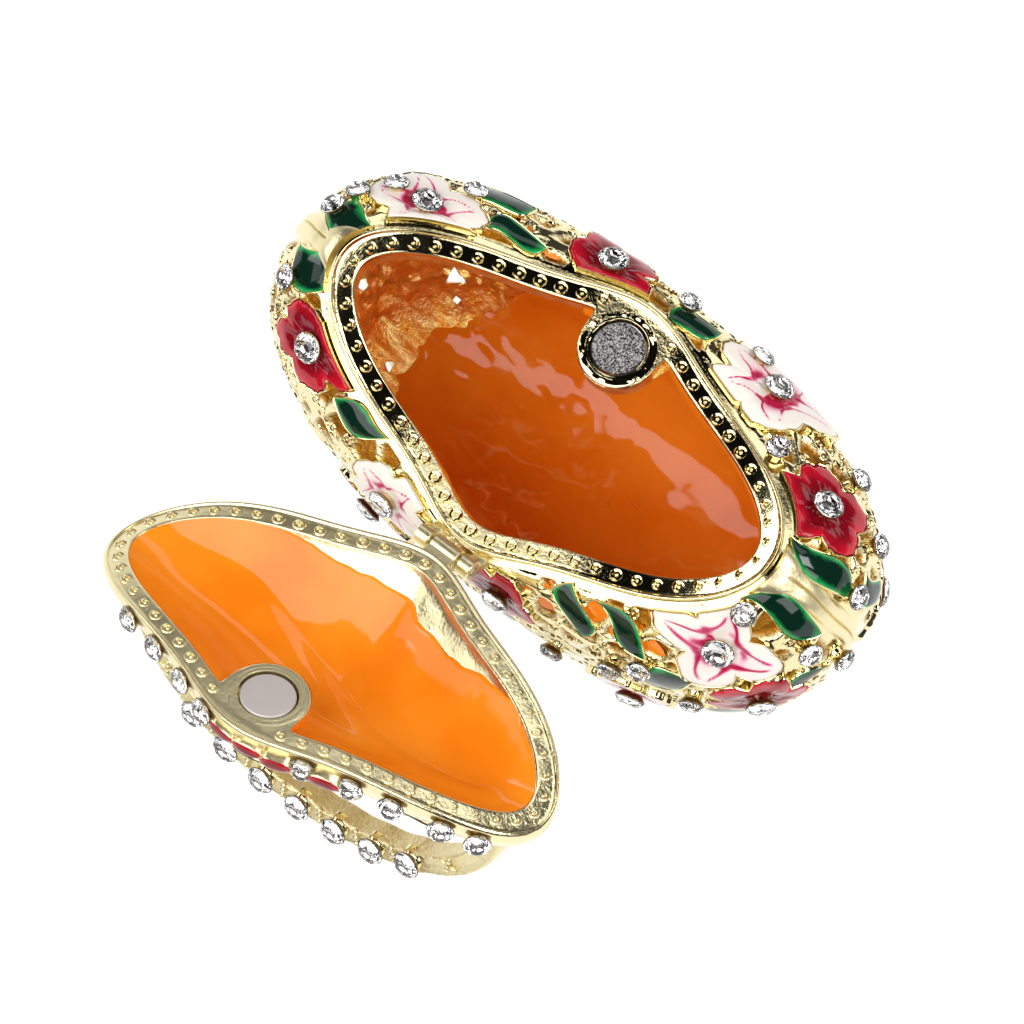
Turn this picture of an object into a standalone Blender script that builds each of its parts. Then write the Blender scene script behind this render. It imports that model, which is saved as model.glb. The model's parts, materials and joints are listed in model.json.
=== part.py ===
"""Handbag trinket box: a hinged, flower-covered metal box in the shape of a small handbag.

The body and the lid are hollow castings that meet along a saddle-shaped rim.  A barrel hinge
joins them at the back, a magnet and a steel disc hold them shut at the front, and rhinestones
stand in cups all over.  The lid is modelled shut and then turned open about its hinge.

Lengths are millimetres until a mesh is made.  X runs along the box, +Y is its front, +Z is up,
and the origin is the middle of the flat underside.
"""
import math

import bmesh
import bpy
from mathutils import Matrix, Vector

MM = 0.001
GAP = 0.3                    # clearance between pieces that would touch
AROUND = 36                  # sides of the castings, seen from above
TURN_SHIFT = 0.17

# Mouth: an ellipse with a bump at the magnet and another at the hinge
MOUTH_HALF_LENGTH = 27.0
MOUTH_HALF_WIDTH = 12.3
MOUTH_CENTRE_Y = -1.2
FRONT_BUMP = (2.6, 7.8)      # how far it swells, and over what half width
BACK_BUMP = (3.1, 7.2)
RIM_HEIGHT = 34.0            # rim above the underside, halfway along
RIM_RISE = 5.3               # how much higher the two tips are
RIM_RISE_POWER = 3.2
RIM_BAND = 2.4               # width of the flat rim
LIP_HEIGHT = 1.0

# Body
BELLY_HALF_LENGTH = 35.0
BELLY_HALF_WIDTH = 17.4
BELLY_HEIGHT = 26.5
BELLY_POWER = 2.4            # 2 is an ellipse, more is squarer
BASE_HALF_LENGTH = 23.5
BASE_HALF_WIDTH = 13.0
TAPER_POWER = 1.72
SHOULDER_TURN = math.radians(80)
WALL = 1.7
FLOOR = 2.2
FLOOR_REACH = 0.97           # of the underside
MOUTH_DEPTH = 2.3            # straight part of the mouth

# Lid
CROWN_HEIGHT = 9.5           # above the rim, halfway along
CROWN_POWER = 2.2
LID_WALL = 1.4
LID_MOUTH_DEPTH = 1.3
LID_EDGE = ((0.0, 0.0), (0.0, 0.7), (0.3, 2.0), (1.1, 3.6))     # (inset, height)

# Handle: an arch over the lid
HANDLE_HALF_SPAN = 22.3
HANDLE_FOOT = 8.6            # above the rim, halfway along
HANDLE_RISE = 14.8
HANDLE_POWER = 2.1
HANDLE_BAND = 4.0            # front to back
HANDLE_DEPTH = 3.4           # inner face to outer face
HANDLE_STEPS = 16

# Hinge
HINGE_Y = -18.6
HINGE_ABOVE_RIM = 1.5
HINGE_SLANT = math.radians(4.0)      # the barrel sits this much out of level
LID_OPEN = math.radians(151.7)
BARREL_RADIUS = 1.1
BORE_RADIUS = 0.7
PIN_RADIUS = 0.38
LID_KNUCKLE = 3.2
BODY_KNUCKLE = 1.6
BODY_WEB = ((-0.9, -0.3), (0.6, -0.8), (3.6, -3.4), (2.6, -5.0))     # (y, z) from the axis
LID_WEB = ((0.0, -0.7), (2.6, -0.7), (2.6, 0.8), (0.0, 0.8))

# Magnet and disc
MAGNET_Y = 8.3
MAGNET_RADIUS = 2.85
MAGNET_THICKNESS = 1.8
MAGNET_RECESS = 0.2
DISC_THICKNESS = 1.2
BOSS_RADIUS = 4.2
BOSS_DEPTH = 3.4
BOSS_STEP = 0.12             # the boss stands this far back from the rim

# Relief and stones
RELIEF = 1.0
PETAL_DIP = 0.7              # height of a flower at its middle
SUNK = 0.9                   # how far relief reaches into the wall
FLOWER_CUP = 0.9             # heights of the cups under the stones
ACCENT_CUP = 0.7
ROW_CUP = 0.2
STONE_HEIGHT = 0.9
STONE_SIDES = 6
CUP_SIDES = 5
CENTRE_STONE = 1.6           # radii
ACCENT_STONE = 1.3
ROW_STONE = 1.2
HANDLE_STONE = 1.45

# Body flowers: (angle round the box in degrees, level from 0 base to 1 rim, petals, radius, spin)
UPPER_FLOWERS = (
    (144, 0.90, 5, 6.4, 10), (100, 0.86, 5, 5.4, 40), (66, 0.77, 5, 6.6, 0), (30, 0.86, 5, 5.6, 25),
    (327, 0.81, 4, 6.6, 5), (276, 0.62, 5, 5.2, 15), (257, 0.64, 5, 5.8, 50), (218, 0.88, 5, 5.4, 0),
    (331, 0.48, 5, 5.4, 30),
)
LOWER_FLOWERS = tuple((angle, 0.27, 5, 5.4, angle) for angle in (22, 68, 112, 158, 206, 248, 300))
# Body leaves: (angle, level, length, width, turn from level in degrees)
UPPER_LEAVES = (
    (169, 0.91, 6.6, 4.2, 120), (192, 0.91, 6.6, 4.2, 240), (123, 0.74, 7.5, 3.6, 20),
    (121, 0.92, 7.0, 3.0, 5), (83, 0.90, 5.5, 3.4, 60), (238, 0.92, 6.0, 3.8, 30),
    (293, 0.83, 6.5, 3.2, 80), (302, 0.81, 6.5, 3.2, 120), (309, 0.53, 7.5, 4.0, 30),
    (353, 0.84, 8.5, 3.8, 60), (9, 0.84, 8.5, 3.8, 300), (343, 0.50, 6.5, 2.8, 10),
    (14, 0.57, 6.5, 2.8, 80),
)
LOWER_LEAVES = tuple(
    (angle, 0.36, 7.0, 3.6, turn)
    for angle, turn in ((44, 60), (90, 110), (136, 70), (182, 120), (228, 60), (274, 110), (322, 70))
)
# Accent stones on the body: (angle, level)
UPPER_ACCENTS = (
    (172, 0.84), (163, 0.83), (151, 0.82), (130, 0.78), (87, 0.81), (74, 0.70), (48, 0.94), (42, 0.66),
    (24, 0.64), (7, 0.69), (356, 0.51), (349, 0.68), (341, 0.93), (314, 0.45), (304, 0.64), (297, 0.53),
    (198, 0.82), (284, 0.35),
)
# Small openings low in the wall: (angle, level, radius)
WINDOWS = ((144, 0.16, 1.2), (148, 0.09, 1.0), (176, 0.24, 1.1), (184, 0.075, 1.0))
# Lid flowers and leaves, as on the body, with reach 0 at the crown and 1 at the side
LID_FLOWERS = (
    (90, 0.66, 5, 5.8, 0), (270, 0.62, 5, 5.6, 20), (36, 0.66, 4, 4.8, 40), (144, 0.66, 5, 4.8, 0),
    (216, 0.66, 4, 4.8, 10), (324, 0.66, 5, 4.8, 30),
)
LID_LEAVES = (
    (62, 0.72, 6.0, 3.0, 100), (118, 0.72, 6.0, 3.0, 80), (242, 0.70, 6.0, 3.0, 100),
    (298, 0.70, 6.0, 3.0, 80),
)
# Stones along the front of the lid: (x, height on the side)
LID_ROW = (
    (-17.2, 1.6), (-12.6, 1.6), (-7.8, 1.6), (-3.8, 1.6), (7.4, 1.9), (12.0, 2.0), (16.0, 2.1), (20.6, 2.1),
    (23.6, 2.1),
)
HANDLE_STONES = 7
HANDLE_PITCH = 4.75


# ---------------------------------------------------------------- curves and surfaces

def signed_power(value, power):
    return math.copysign(abs(value) ** power, value)


def oval(turn, half_length, half_width, power):
    """Point of a superellipse."""
    return Vector((half_length * signed_power(math.cos(turn), 2 / power),
                   half_width * signed_power(math.sin(turn), 2 / power)))


def rim_level(x):
    """Height of the rim above the underside, which rises to both tips."""
    return RIM_HEIGHT + RIM_RISE * abs(x / MOUTH_HALF_LENGTH) ** RIM_RISE_POWER


def mouth_edge(turn):
    """Outer edge of the rim, seen from above."""
    x = MOUTH_HALF_LENGTH * math.cos(turn)
    y = MOUTH_HALF_WIDTH * math.sin(turn)
    swell, spread = FRONT_BUMP if y > 0 else BACK_BUMP
    y += math.copysign(swell, y) * math.exp(-(x / spread) ** 2) * min(1.0, abs(math.sin(turn)) * 4)
    return Vector((x, MOUTH_CENTRE_Y + y))


def rim_point(turn, inset=0.0, lift=0.0):
    """Point on the rim, moved inwards across the band and up from it."""
    step = 0.01
    along = (mouth_edge(turn + step) - mouth_edge(turn - step)).normalized()
    place = mouth_edge(turn) + inset * Vector((-along.y, along.x))
    return Vector((place.x, place.y, rim_level(place.x) + lift))


def body_point(turn, level):
    """Outer wall of the body: level 0 is the base edge, 0.5 the belly and 1 just under the rim."""
    if level <= 0.5:
        down = 1 - level / 0.5
        size = (1 - down ** TAPER_POWER) ** (1 / TAPER_POWER)
        half_length = BASE_HALF_LENGTH + (BELLY_HALF_LENGTH - BASE_HALF_LENGTH) * size
        half_width = BASE_HALF_WIDTH + (BELLY_HALF_WIDTH - BASE_HALF_WIDTH) * size
        place = oval(turn, half_length, half_width, BELLY_POWER)
        return Vector((place.x, place.y, BELLY_HEIGHT * (1 - down)))
    bend = (level - 0.5) / 0.5 * SHOULDER_TURN
    outward = (math.cos(bend) - math.cos(SHOULDER_TURN)) / (1 - math.cos(SHOULDER_TURN))
    upward = math.sin(bend) / math.sin(SHOULDER_TURN)
    edge = rim_point(turn, 0.0, -LIP_HEIGHT)
    belly = oval(turn, BELLY_HALF_LENGTH, BELLY_HALF_WIDTH, BELLY_POWER)
    place = edge.xy.lerp(belly, outward)
    return Vector((place.x, place.y, BELLY_HEIGHT + (edge.z - BELLY_HEIGHT) * upward))


def lid_point(turn, reach):
    """Outer face of the lid: reach 0 is the crown and 1 the turn down to its side."""
    inset, height = LID_EDGE[-1]
    edge = rim_point(turn, inset, GAP + height)
    crown = Vector((0, MOUTH_CENTRE_Y, RIM_HEIGHT + GAP + CROWN_HEIGHT))
    place = crown.xy.lerp(edge.xy, reach)
    return Vector((place.x, place.y, crown.z + (edge.z - crown.z) * reach ** CROWN_POWER))


class Surface:
    """A wall given by two numbers, with its directions, so that relief can be laid on it."""

    def __init__(self, point, lowest, highest):
        self.point = point
        self.lowest = lowest
        self.highest = highest

    def slopes(self, turn, level):
        step = 0.004
        low = max(level - step, self.lowest)
        high = min(level + step, self.highest)
        along = (self.point(turn + step, level) - self.point(turn - step, level)) / (2 * step)
        up = (self.point(turn, high) - self.point(turn, low)) / (high - low)
        return along, up

    def place(self, turn, level, u, v, height):
        """Point u along and v up the wall from (turn, level), and height off it."""
        along, up = self.slopes(turn, level)
        new_turn = turn + u / along.length
        new_level = min(max(level + v / up.length, self.lowest), self.highest)
        along, up = self.slopes(new_turn, new_level)
        return self.point(new_turn, new_level) + height * self.outward(along, up)

    def outward(self, along, up):
        return along.cross(up).normalized()

    def frame(self, turn, level):
        """Place and outward direction at one spot."""
        return self.place(turn, level, 0, 0, 0), self.outward(*self.slopes(turn, level))


class LidSurface(Surface):
    """The lid's levels run downwards from its crown, so its outward side is the other one."""

    def outward(self, along, up):
        return up.cross(along).normalized()


BODY = Surface(body_point, 0.03, 0.97)
LID = LidSurface(lid_point, 0.02, 0.98)


# ---------------------------------------------------------------- materials and objects

def material(name, colour, roughness, metallic):
    finish = bpy.data.materials.new(name)
    finish.use_nodes = True
    shader = finish.node_tree.nodes["Principled BSDF"]
    shader.inputs["Base Color"].default_value = (*colour, 1)
    shader.inputs["Roughness"].default_value = roughness
    shader.inputs["Metallic"].default_value = metallic
    return finish


def add_object(name, bm, collection, finish=None):
    """Turn a bmesh in millimetres into an object in metres."""
    bmesh.ops.recalc_face_normals(bm, faces=bm.faces)
    bmesh.ops.scale(bm, vec=(MM, MM, MM), verts=bm.verts)
    mesh = bpy.data.meshes.new(name)
    bm.to_mesh(mesh)
    bm.free()
    thing = bpy.data.objects.new(name, mesh)
    collection.objects.link(thing)
    if finish:
        mesh.materials.append(finish)
    return thing


def loft(bm, rings, cap_low=None, cap_high=None):
    """Skin rings of points; each end is closed flat, or by a fan to the point given."""
    rows = [[bm.verts.new(point) for point in ring] for ring in rings]
    count = len(rows[0])
    for lower, upper in zip(rows, rows[1:]):
        for i in range(count):
            j = (i + 1) % count
            bm.faces.new((lower[i], lower[j], upper[j], upper[i]))
    for row, tip in ((rows[0], cap_low), (rows[-1], cap_high)):
        if tip is None:
            bm.faces.new(row)
            continue
        centre = bm.verts.new(tip)
        for i in range(count):
            bm.faces.new((row[i], row[(i + 1) % count], centre))


def aim(place, direction):
    """Matrix that stands a shape's Z axis along a direction at a place."""
    return Matrix.Translation(place) @ direction.to_track_quat("Z", "Y").to_matrix().to_4x4()


def drum(bm, place, direction, low, high, radius_low, radius_high, sides):
    """A round or tapered drum between two heights along its direction."""
    middle = place + direction * (low + high) / 2
    bmesh.ops.create_cone(bm, cap_ends=True, segments=sides, radius1=radius_low, radius2=radius_high,
                          depth=high - low, matrix=aim(middle, direction))


def turns():
    """Directions round the castings, closer at the long sides so that the steps come out even."""
    steps = [2 * math.pi * i / AROUND for i in range(AROUND)]
    return [step + TURN_SHIFT * math.sin(2 * step) for step in steps]


# ---------------------------------------------------------------- relief

def petal_outline(petals, radius):
    """Outline of a flower: rounded petals when there are five, pointed ones when there are four."""
    rounded = ((0.0, 0.56), (0.3, 0.97), (0.7, 0.97))
    pointed = ((0.0, 0.5), (0.5, 1.05))
    outline = []
    for i in range(petals):
        for part, reach in rounded if petals > 4 else pointed:
            turn = 2 * math.pi * (i + part) / petals
            outline.append((radius * reach * math.cos(turn), radius * reach * math.sin(turn)))
    return outline


def turned(points, angle):
    c = math.cos(angle)
    s = math.sin(angle)
    return [(u * c - v * s, u * s + v * c) for u, v in points]


def flower(bm, wall, angle, level, petals, radius, spin):
    """A flower whose petals rise from the wall and dip towards the middle."""
    outline = turned(petal_outline(petals, radius), math.radians(spin))
    where = (math.radians(angle), level)
    rings = [[wall.place(*where, u, v, height) for u, v in outline] for height in (-SUNK, RELIEF)]
    loft(bm, rings, cap_high=wall.place(*where, 0, 0, PETAL_DIP))


def leaf(bm, wall, angle, level, length, width, turn):
    """A pointed leaf with a raised midrib."""
    half = ((-0.5, 0.0), (-0.22, 0.42), (0.12, 0.5), (0.5, 0.0), (0.12, -0.5), (-0.22, -0.42))
    outline = turned([(u * length, v * width) for u, v in half], math.radians(turn))
    where = (math.radians(angle), level)
    rings = [[wall.place(*where, u, v, height) for u, v in outline] for height in (-SUNK, RELIEF * 0.6)]
    loft(bm, rings, cap_high=wall.place(*where, 0, 0, RELIEF * 1.1))


def end_strap(bm, middle):
    """The smooth grooved strap that runs down from a tip of the rim."""
    half = ((3.3, -SUNK), (3.3, 0.7), (0.35, 0.85))
    section = [(-u, height) for u, height in half] + [(0.0, 0.45)] + list(reversed(half))
    levels = (0.965, 0.9, 0.82, 0.72, 0.62, 0.52, 0.45)
    loft(bm, [[BODY.place(middle, level, u, 0, height) for u, height in section] for level in levels])


def cup(bm, place, out, radius, height):
    drum(bm, place, out, -SUNK, height, radius + 0.15, radius - 0.15, CUP_SIDES)


def stone_shape(bm, place, out, radius, height):
    """A brilliant cut, simplified to its crown and table."""
    drum(bm, place, out, height + GAP, height + GAP + STONE_HEIGHT, radius, radius * 0.6, STONE_SIDES)


def fused_stone(bm, place, out, radius, height):
    """A stone joined to its cup, where the stones are too many to be pieces of their own."""
    drum(bm, place, out, -SUNK, height + STONE_HEIGHT, radius + 0.15, radius * 0.6, CUP_SIDES)


# ---------------------------------------------------------------- castings

def body_shell():
    """Underside, outer wall, rim, mouth, inner wall and floor, in one skin."""
    rings = []
    for level in (0.0, 0.06, 0.16, 0.3, 0.5, 0.66, 0.84, 1.0):
        rings.append([body_point(turn, level) for turn in turns()])
    rings.append([rim_point(turn) for turn in turns()])
    rings.append([rim_point(turn, RIM_BAND) for turn in turns()])
    rings.append([rim_point(turn, RIM_BAND, -MOUTH_DEPTH) for turn in turns()])
    for level in (0.82, 0.62, 0.36, 0.17):
        ring = []
        for turn in turns():
            place, out = BODY.frame(turn, level)
            ring.append(place - WALL * out)
        rings.append(ring)
    rings.append([Vector((point.x * FLOOR_REACH, point.y * FLOOR_REACH, FLOOR)) for point in rings[0]])
    bm = bmesh.new()
    loft(bm, rings)
    return bm


def lid_shell():
    """Inner face from its crown out, mouth, rim, side and outer face back to the crown."""
    down = Vector((0, 0, -LID_WALL))
    rings = []
    for reach in (0.3, 0.6, 0.86):
        rings.append([lid_point(turn, reach) + down for turn in turns()])
    rings.append([rim_point(turn, RIM_BAND, GAP + LID_MOUTH_DEPTH) for turn in turns()])
    rings.append([rim_point(turn, RIM_BAND, GAP) for turn in turns()])
    for inset, height in LID_EDGE:
        rings.append([rim_point(turn, inset, GAP + height) for turn in turns()])
    for reach in (0.8, 0.52, 0.22):
        rings.append([lid_point(turn, reach) for turn in turns()])
    bm = bmesh.new()
    loft(bm, rings, cap_low=lid_point(0, 0) + down, cap_high=lid_point(0, 0))
    return bm


def handle_line(turn):
    """Middle line of the handle and its outward direction, in the plane of the arch."""
    step = 0.002
    before, here, after = (oval(turn + nudge, HANDLE_HALF_SPAN, HANDLE_RISE, HANDLE_POWER)
                           for nudge in (-step, 0, step))
    along = (after - before).normalized()
    place = Vector((here.x, MOUTH_CENTRE_Y, RIM_HEIGHT + HANDLE_FOOT + here.y))
    return place, Vector((along.y, 0, -along.x))


def handle(bm):
    rings = []
    half = HANDLE_BAND / 2
    depth = HANDLE_DEPTH / 2
    for i in range(HANDLE_STEPS + 1):
        place, out = handle_line(math.pi * i / HANDLE_STEPS)
        ring = []
        for side, rise in ((-half, -depth), (half, -depth), (half, depth), (-half, depth)):
            ring.append(place + out * rise + Vector((0, side, 0)))
        rings.append(ring)
    loft(bm, rings)


def handle_stations():
    """Evenly spaced spots along the middle line of the handle."""
    steps = 400
    samples = [handle_line(math.pi * i / steps)[0] for i in range(steps + 1)]
    travelled = [0.0]
    for before, after in zip(samples, samples[1:]):
        travelled.append(travelled[-1] + (after - before).length)
    stations = []
    for index in range(HANDLE_STONES):
        wanted = travelled[-1] / 2 + (index - (HANDLE_STONES - 1) / 2) * HANDLE_PITCH
        nearest = min(range(steps + 1), key=lambda i: abs(travelled[i] - wanted))
        stations.append(samples[nearest])
    return stations


def handle_spots():
    """Spots along the front face of the handle."""
    out = Vector((0, 1, 0))
    return [(place + out * HANDLE_BAND / 2, out) for place in handle_stations()]


def lid_row_spots():
    """Spots along the front of the lid, with the direction that each stone faces."""
    inset = LID_EDGE[2][0]
    spots = []
    for x, height in LID_ROW:
        turn = math.acos(x / MOUTH_HALF_LENGTH)
        out = rim_point(turn, -1.0) - rim_point(turn)
        out.z = 0
        spots.append((rim_point(turn, inset, GAP + height), out.normalized()))
    return spots


# ---------------------------------------------------------------- hinge

def hinge_axis():
    return Vector((math.cos(HINGE_SLANT), 0, math.sin(HINGE_SLANT)))


def hinge_centre():
    return Vector((0, HINGE_Y, RIM_HEIGHT + HINGE_ABOVE_RIM))


def body_knuckle_spans():
    inner = LID_KNUCKLE / 2 + GAP
    return ((-inner - BODY_KNUCKLE, -inner), (inner, inner + BODY_KNUCKLE))


def knuckle(bm, low, high):
    drum(bm, hinge_centre(), hinge_axis(), low, high, BARREL_RADIUS, BARREL_RADIUS, 14)


def web(bm, low, high, corners):
    """A flat arm between a knuckle and its casting, given as four corners across the hinge."""
    rings = []
    for along in (low, high):
        foot = hinge_centre() + hinge_axis() * along
        rings.append([Vector((foot.x, foot.y + y, foot.z + z)) for y, z in corners])
    loft(bm, rings)


def bore(bm):
    drum(bm, hinge_centre(), hinge_axis(), -6, 6, BORE_RADIUS, BORE_RADIUS, 10)


# ---------------------------------------------------------------- building

class Builder:
    """Makes objects and helpers for one casting, in the frame of the body or of the open lid."""

    def __init__(self, parts, cutters, name, hinge=None):
        self.parts = parts
        self.name = name
        self.hinge = hinge
        self.unions = group(name + "_additions", cutters)
        self.cuts = group(name + "_cuts", cutters)

    def piece(self, name, shape, finish, collection=None):
        """Add a mesh; on the lid it is measured from the hinge and hangs on the hinge's empty."""
        if self.hinge:
            bmesh.ops.translate(shape, vec=-hinge_centre(), verts=shape.verts)
        thing = add_object(name, shape, collection or self.parts, finish)
        thing.parent = self.hinge
        return thing

    def helper(self, collection, maker, *values):
        """Add a shape that is only joined to the casting, or cut from it."""
        shape = bmesh.new()
        maker(shape, *values)
        thing = self.piece(f"{collection.name}_{len(collection.objects):02d}", shape, None, collection)
        thing.hide_render = True
        thing.display_type = "WIRE"

    def add(self, maker, *values):
        self.helper(self.unions, maker, *values)

    def cut(self, maker, *values):
        self.helper(self.cuts, maker, *values)

    def finish(self, casting):
        for operation, shapes in (("UNION", self.unions), ("DIFFERENCE", self.cuts)):
            change = casting.modifiers.new(shapes.name, "BOOLEAN")
            change.operation = operation
            change.solver = "EXACT"
            change.operand_type = "COLLECTION"
            change.collection = shapes


def group(name, parent):
    collection = bpy.data.collections.new(name)
    parent.children.link(collection)
    return collection


def make_stones(builder, name, spots, radius, height, finish):
    """Separate rhinestones over their cups."""
    for number, (place, out) in enumerate(spots, 1):
        builder.add(cup, place, out, radius, height)
        shape = bmesh.new()
        stone_shape(shape, place, out, radius, height)
        builder.piece(f"{name}_{number:02d}", shape, finish)


def make_body(builder, gold, steel, glass):
    casting = builder.piece("body_casting", body_shell(), gold)
    for spec in UPPER_FLOWERS + LOWER_FLOWERS:
        builder.add(flower, BODY, *spec)
    for spec in UPPER_LEAVES + LOWER_LEAVES:
        builder.add(leaf, BODY, *spec)
    for middle in (0.0, math.pi):
        builder.add(end_strap, middle)
    centres = [BODY.frame(math.radians(spec[0]), spec[1]) for spec in UPPER_FLOWERS + LOWER_FLOWERS]
    make_stones(builder, "body_flower_stone", centres, CENTRE_STONE, FLOWER_CUP, glass)
    accents = [BODY.frame(math.radians(angle), level) for angle, level in UPPER_ACCENTS]
    make_stones(builder, "body_accent_stone", accents, ACCENT_STONE, ACCENT_CUP, glass)
    upward = Vector((0, 0, 1))
    rim = Vector((0, MAGNET_Y, RIM_HEIGHT))
    builder.add(drum, rim, upward, -BOSS_DEPTH, -BOSS_STEP, BOSS_RADIUS - 0.6, BOSS_RADIUS, 20)
    pocket = MAGNET_RECESS + MAGNET_THICKNESS + GAP
    builder.cut(drum, rim, upward, -pocket, 1, MAGNET_RADIUS + GAP, MAGNET_RADIUS + GAP, 20)
    shape = bmesh.new()
    top = -MAGNET_RECESS
    drum(shape, rim, upward, top - MAGNET_THICKNESS, top, MAGNET_RADIUS, MAGNET_RADIUS, 20)
    builder.piece("body_magnet", shape, steel)
    for low, high in body_knuckle_spans():
        builder.add(knuckle, low, high)
        builder.add(web, low + 0.05, high - 0.05, BODY_WEB)
    builder.cut(bore)
    for angle, level, radius in WINDOWS:
        place, out = BODY.frame(math.radians(angle), level)
        builder.cut(drum, place, out, -WALL - 2, 3, radius, radius, 5)
    builder.finish(casting)
    shape = bmesh.new()
    half = body_knuckle_spans()[1][1]
    drum(shape, hinge_centre(), hinge_axis(), -half, half, PIN_RADIUS, PIN_RADIUS, 10)
    builder.piece("hinge_pin", shape, gold)


def make_lid(builder, gold, steel, glass):
    casting = builder.piece("lid_casting", lid_shell(), gold)
    builder.add(handle)
    for spec in LID_FLOWERS:
        builder.add(flower, LID, *spec)
        builder.add(fused_stone, *LID.frame(math.radians(spec[0]), spec[1]), CENTRE_STONE, FLOWER_CUP)
    for spec in LID_LEAVES:
        builder.add(leaf, LID, *spec)
    make_stones(builder, "lid_edge_stone", lid_row_spots(), ROW_STONE, ROW_CUP, glass)
    make_stones(builder, "handle_stone", handle_spots(), HANDLE_STONE, ROW_CUP, glass)
    upward = Vector((0, 0, 1))
    rim = Vector((0, MAGNET_Y, RIM_HEIGHT + GAP))
    builder.add(drum, rim, upward, BOSS_STEP, BOSS_DEPTH, BOSS_RADIUS, BOSS_RADIUS - 0.6, 20)
    pocket = MAGNET_RECESS + DISC_THICKNESS + GAP
    builder.cut(drum, rim, upward, -1, pocket, MAGNET_RADIUS + GAP, MAGNET_RADIUS + GAP, 20)
    shape = bmesh.new()
    bottom = MAGNET_RECESS
    drum(shape, rim, upward, bottom, bottom + DISC_THICKNESS, MAGNET_RADIUS, MAGNET_RADIUS, 20)
    builder.piece("lid_catch_disc", shape, steel)
    builder.add(knuckle, -LID_KNUCKLE / 2, LID_KNUCKLE / 2)
    builder.add(web, -LID_KNUCKLE / 2 + 0.05, LID_KNUCKLE / 2 - 0.05, LID_WEB)
    builder.cut(bore)
    builder.finish(casting)


def build():
    for thing in list(bpy.data.objects):
        bpy.data.objects.remove(thing)
    scene = bpy.context.scene.collection
    parts = group("handbag_trinket_box", scene)
    cutters = group("cutters", scene)
    gold = material("champagne_gold_plate", (0.79, 0.65, 0.34), 0.15, 1.0)
    steel = material("sintered_magnet", (0.20, 0.19, 0.21), 0.45, 1.0)
    glass = material("clear_rhinestone", (0.90, 0.92, 0.95), 0.03, 0.0)
    make_body(Builder(parts, cutters, "body"), gold, steel, glass)
    hinge = bpy.data.objects.new("lid_hinge", None)
    parts.objects.link(hinge)
    hinge.matrix_world = (Matrix.Translation(hinge_centre() * MM)
                          @ Matrix.Rotation(LID_OPEN, 4, hinge_axis()))
    make_lid(Builder(parts, cutters, "lid", hinge), gold, steel, glass)


build()
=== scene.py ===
# %% [markdown]
# # Handbag trinket box
# A small hinged box cast in zinc alloy, plated pale gold and filled with enamel.  Its body and
# lid are two bowls that meet along a saddle-shaped rim, and both are covered with flowers and
# leaves whose hollows hold red, white and green enamel.  Glass stones stand in cups all over,
# the inside is orange enamel, and a magnet holds the lid shut.
#
# The working model is loaded first.  Every piece made below lies on it, in the same frame, and
# rides on the half of the box that carries it.

import json
import math
import random

import bpy
import numpy as np
from mathutils import Matrix, Vector, noise

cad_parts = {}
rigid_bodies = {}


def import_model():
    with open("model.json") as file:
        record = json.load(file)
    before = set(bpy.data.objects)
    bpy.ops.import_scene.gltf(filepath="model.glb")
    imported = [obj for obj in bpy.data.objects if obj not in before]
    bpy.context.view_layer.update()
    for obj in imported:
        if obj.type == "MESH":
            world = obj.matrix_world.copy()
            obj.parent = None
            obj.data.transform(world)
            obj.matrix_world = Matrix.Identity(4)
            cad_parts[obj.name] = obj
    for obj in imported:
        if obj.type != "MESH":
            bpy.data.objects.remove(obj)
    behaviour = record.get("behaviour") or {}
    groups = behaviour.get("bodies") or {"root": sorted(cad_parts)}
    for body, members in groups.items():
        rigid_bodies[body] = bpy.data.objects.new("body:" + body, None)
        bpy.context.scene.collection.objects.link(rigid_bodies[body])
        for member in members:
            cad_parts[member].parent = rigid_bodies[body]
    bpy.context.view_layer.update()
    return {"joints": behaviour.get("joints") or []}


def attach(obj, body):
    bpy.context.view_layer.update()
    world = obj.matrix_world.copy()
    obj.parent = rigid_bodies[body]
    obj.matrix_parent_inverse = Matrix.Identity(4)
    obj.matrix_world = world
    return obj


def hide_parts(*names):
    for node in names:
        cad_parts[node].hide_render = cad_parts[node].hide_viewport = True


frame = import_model()

# %% [markdown]
# ## Units and small helpers
# Everything is worked out in millimetres with the box shut, because both rims then match.  A
# finished piece is scaled to metres, and a lid piece is turned open about the hinge.
#
# Most pieces here are sheets: a grid is added as by hand, each of its points is moved to its
# place on the casting, and the two ends that meet are merged.

# %% Helpers
MM = 0.001
SAME_POINT = 0.0005                # points this close, in millimetres, are merged
hinge = frame["joints"][0]
HINGE_CENTRE = np.array(hinge["pos_m"]) / MM
HINGE_AXIS = np.array(hinge["axis"])
LID_OPEN = math.radians(-hinge["range_deg"][0])
to_hinge = Matrix.Translation(Vector(HINGE_CENTRE) * MM)
OPENED = to_hinge @ Matrix.Rotation(LID_OPEN, 4, Vector(HINGE_AXIS)) @ to_hinge.inverted()
print("lid opened by", round(math.degrees(LID_OPEN), 1), "degrees")


def deselect():
    """Leave object mode with nothing selected, so that an operator acts on the new piece alone."""
    if bpy.context.object and bpy.context.object.mode != "OBJECT":
        bpy.ops.object.mode_set(mode="OBJECT")
    bpy.ops.object.select_all(action="DESELECT")


def added(name):
    """Name the primitive that was just added."""
    piece = bpy.context.object
    piece.name = name
    piece.data.name = name
    return piece


def points_of(piece):
    flat = np.empty(len(piece.data.vertices) * 3)
    piece.data.vertices.foreach_get("co", flat)
    return flat.reshape(-1, 3)


def move_points(piece, places):
    piece.data.vertices.foreach_set("co", np.ascontiguousarray(places, dtype=float).ravel())
    piece.data.update()


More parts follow.
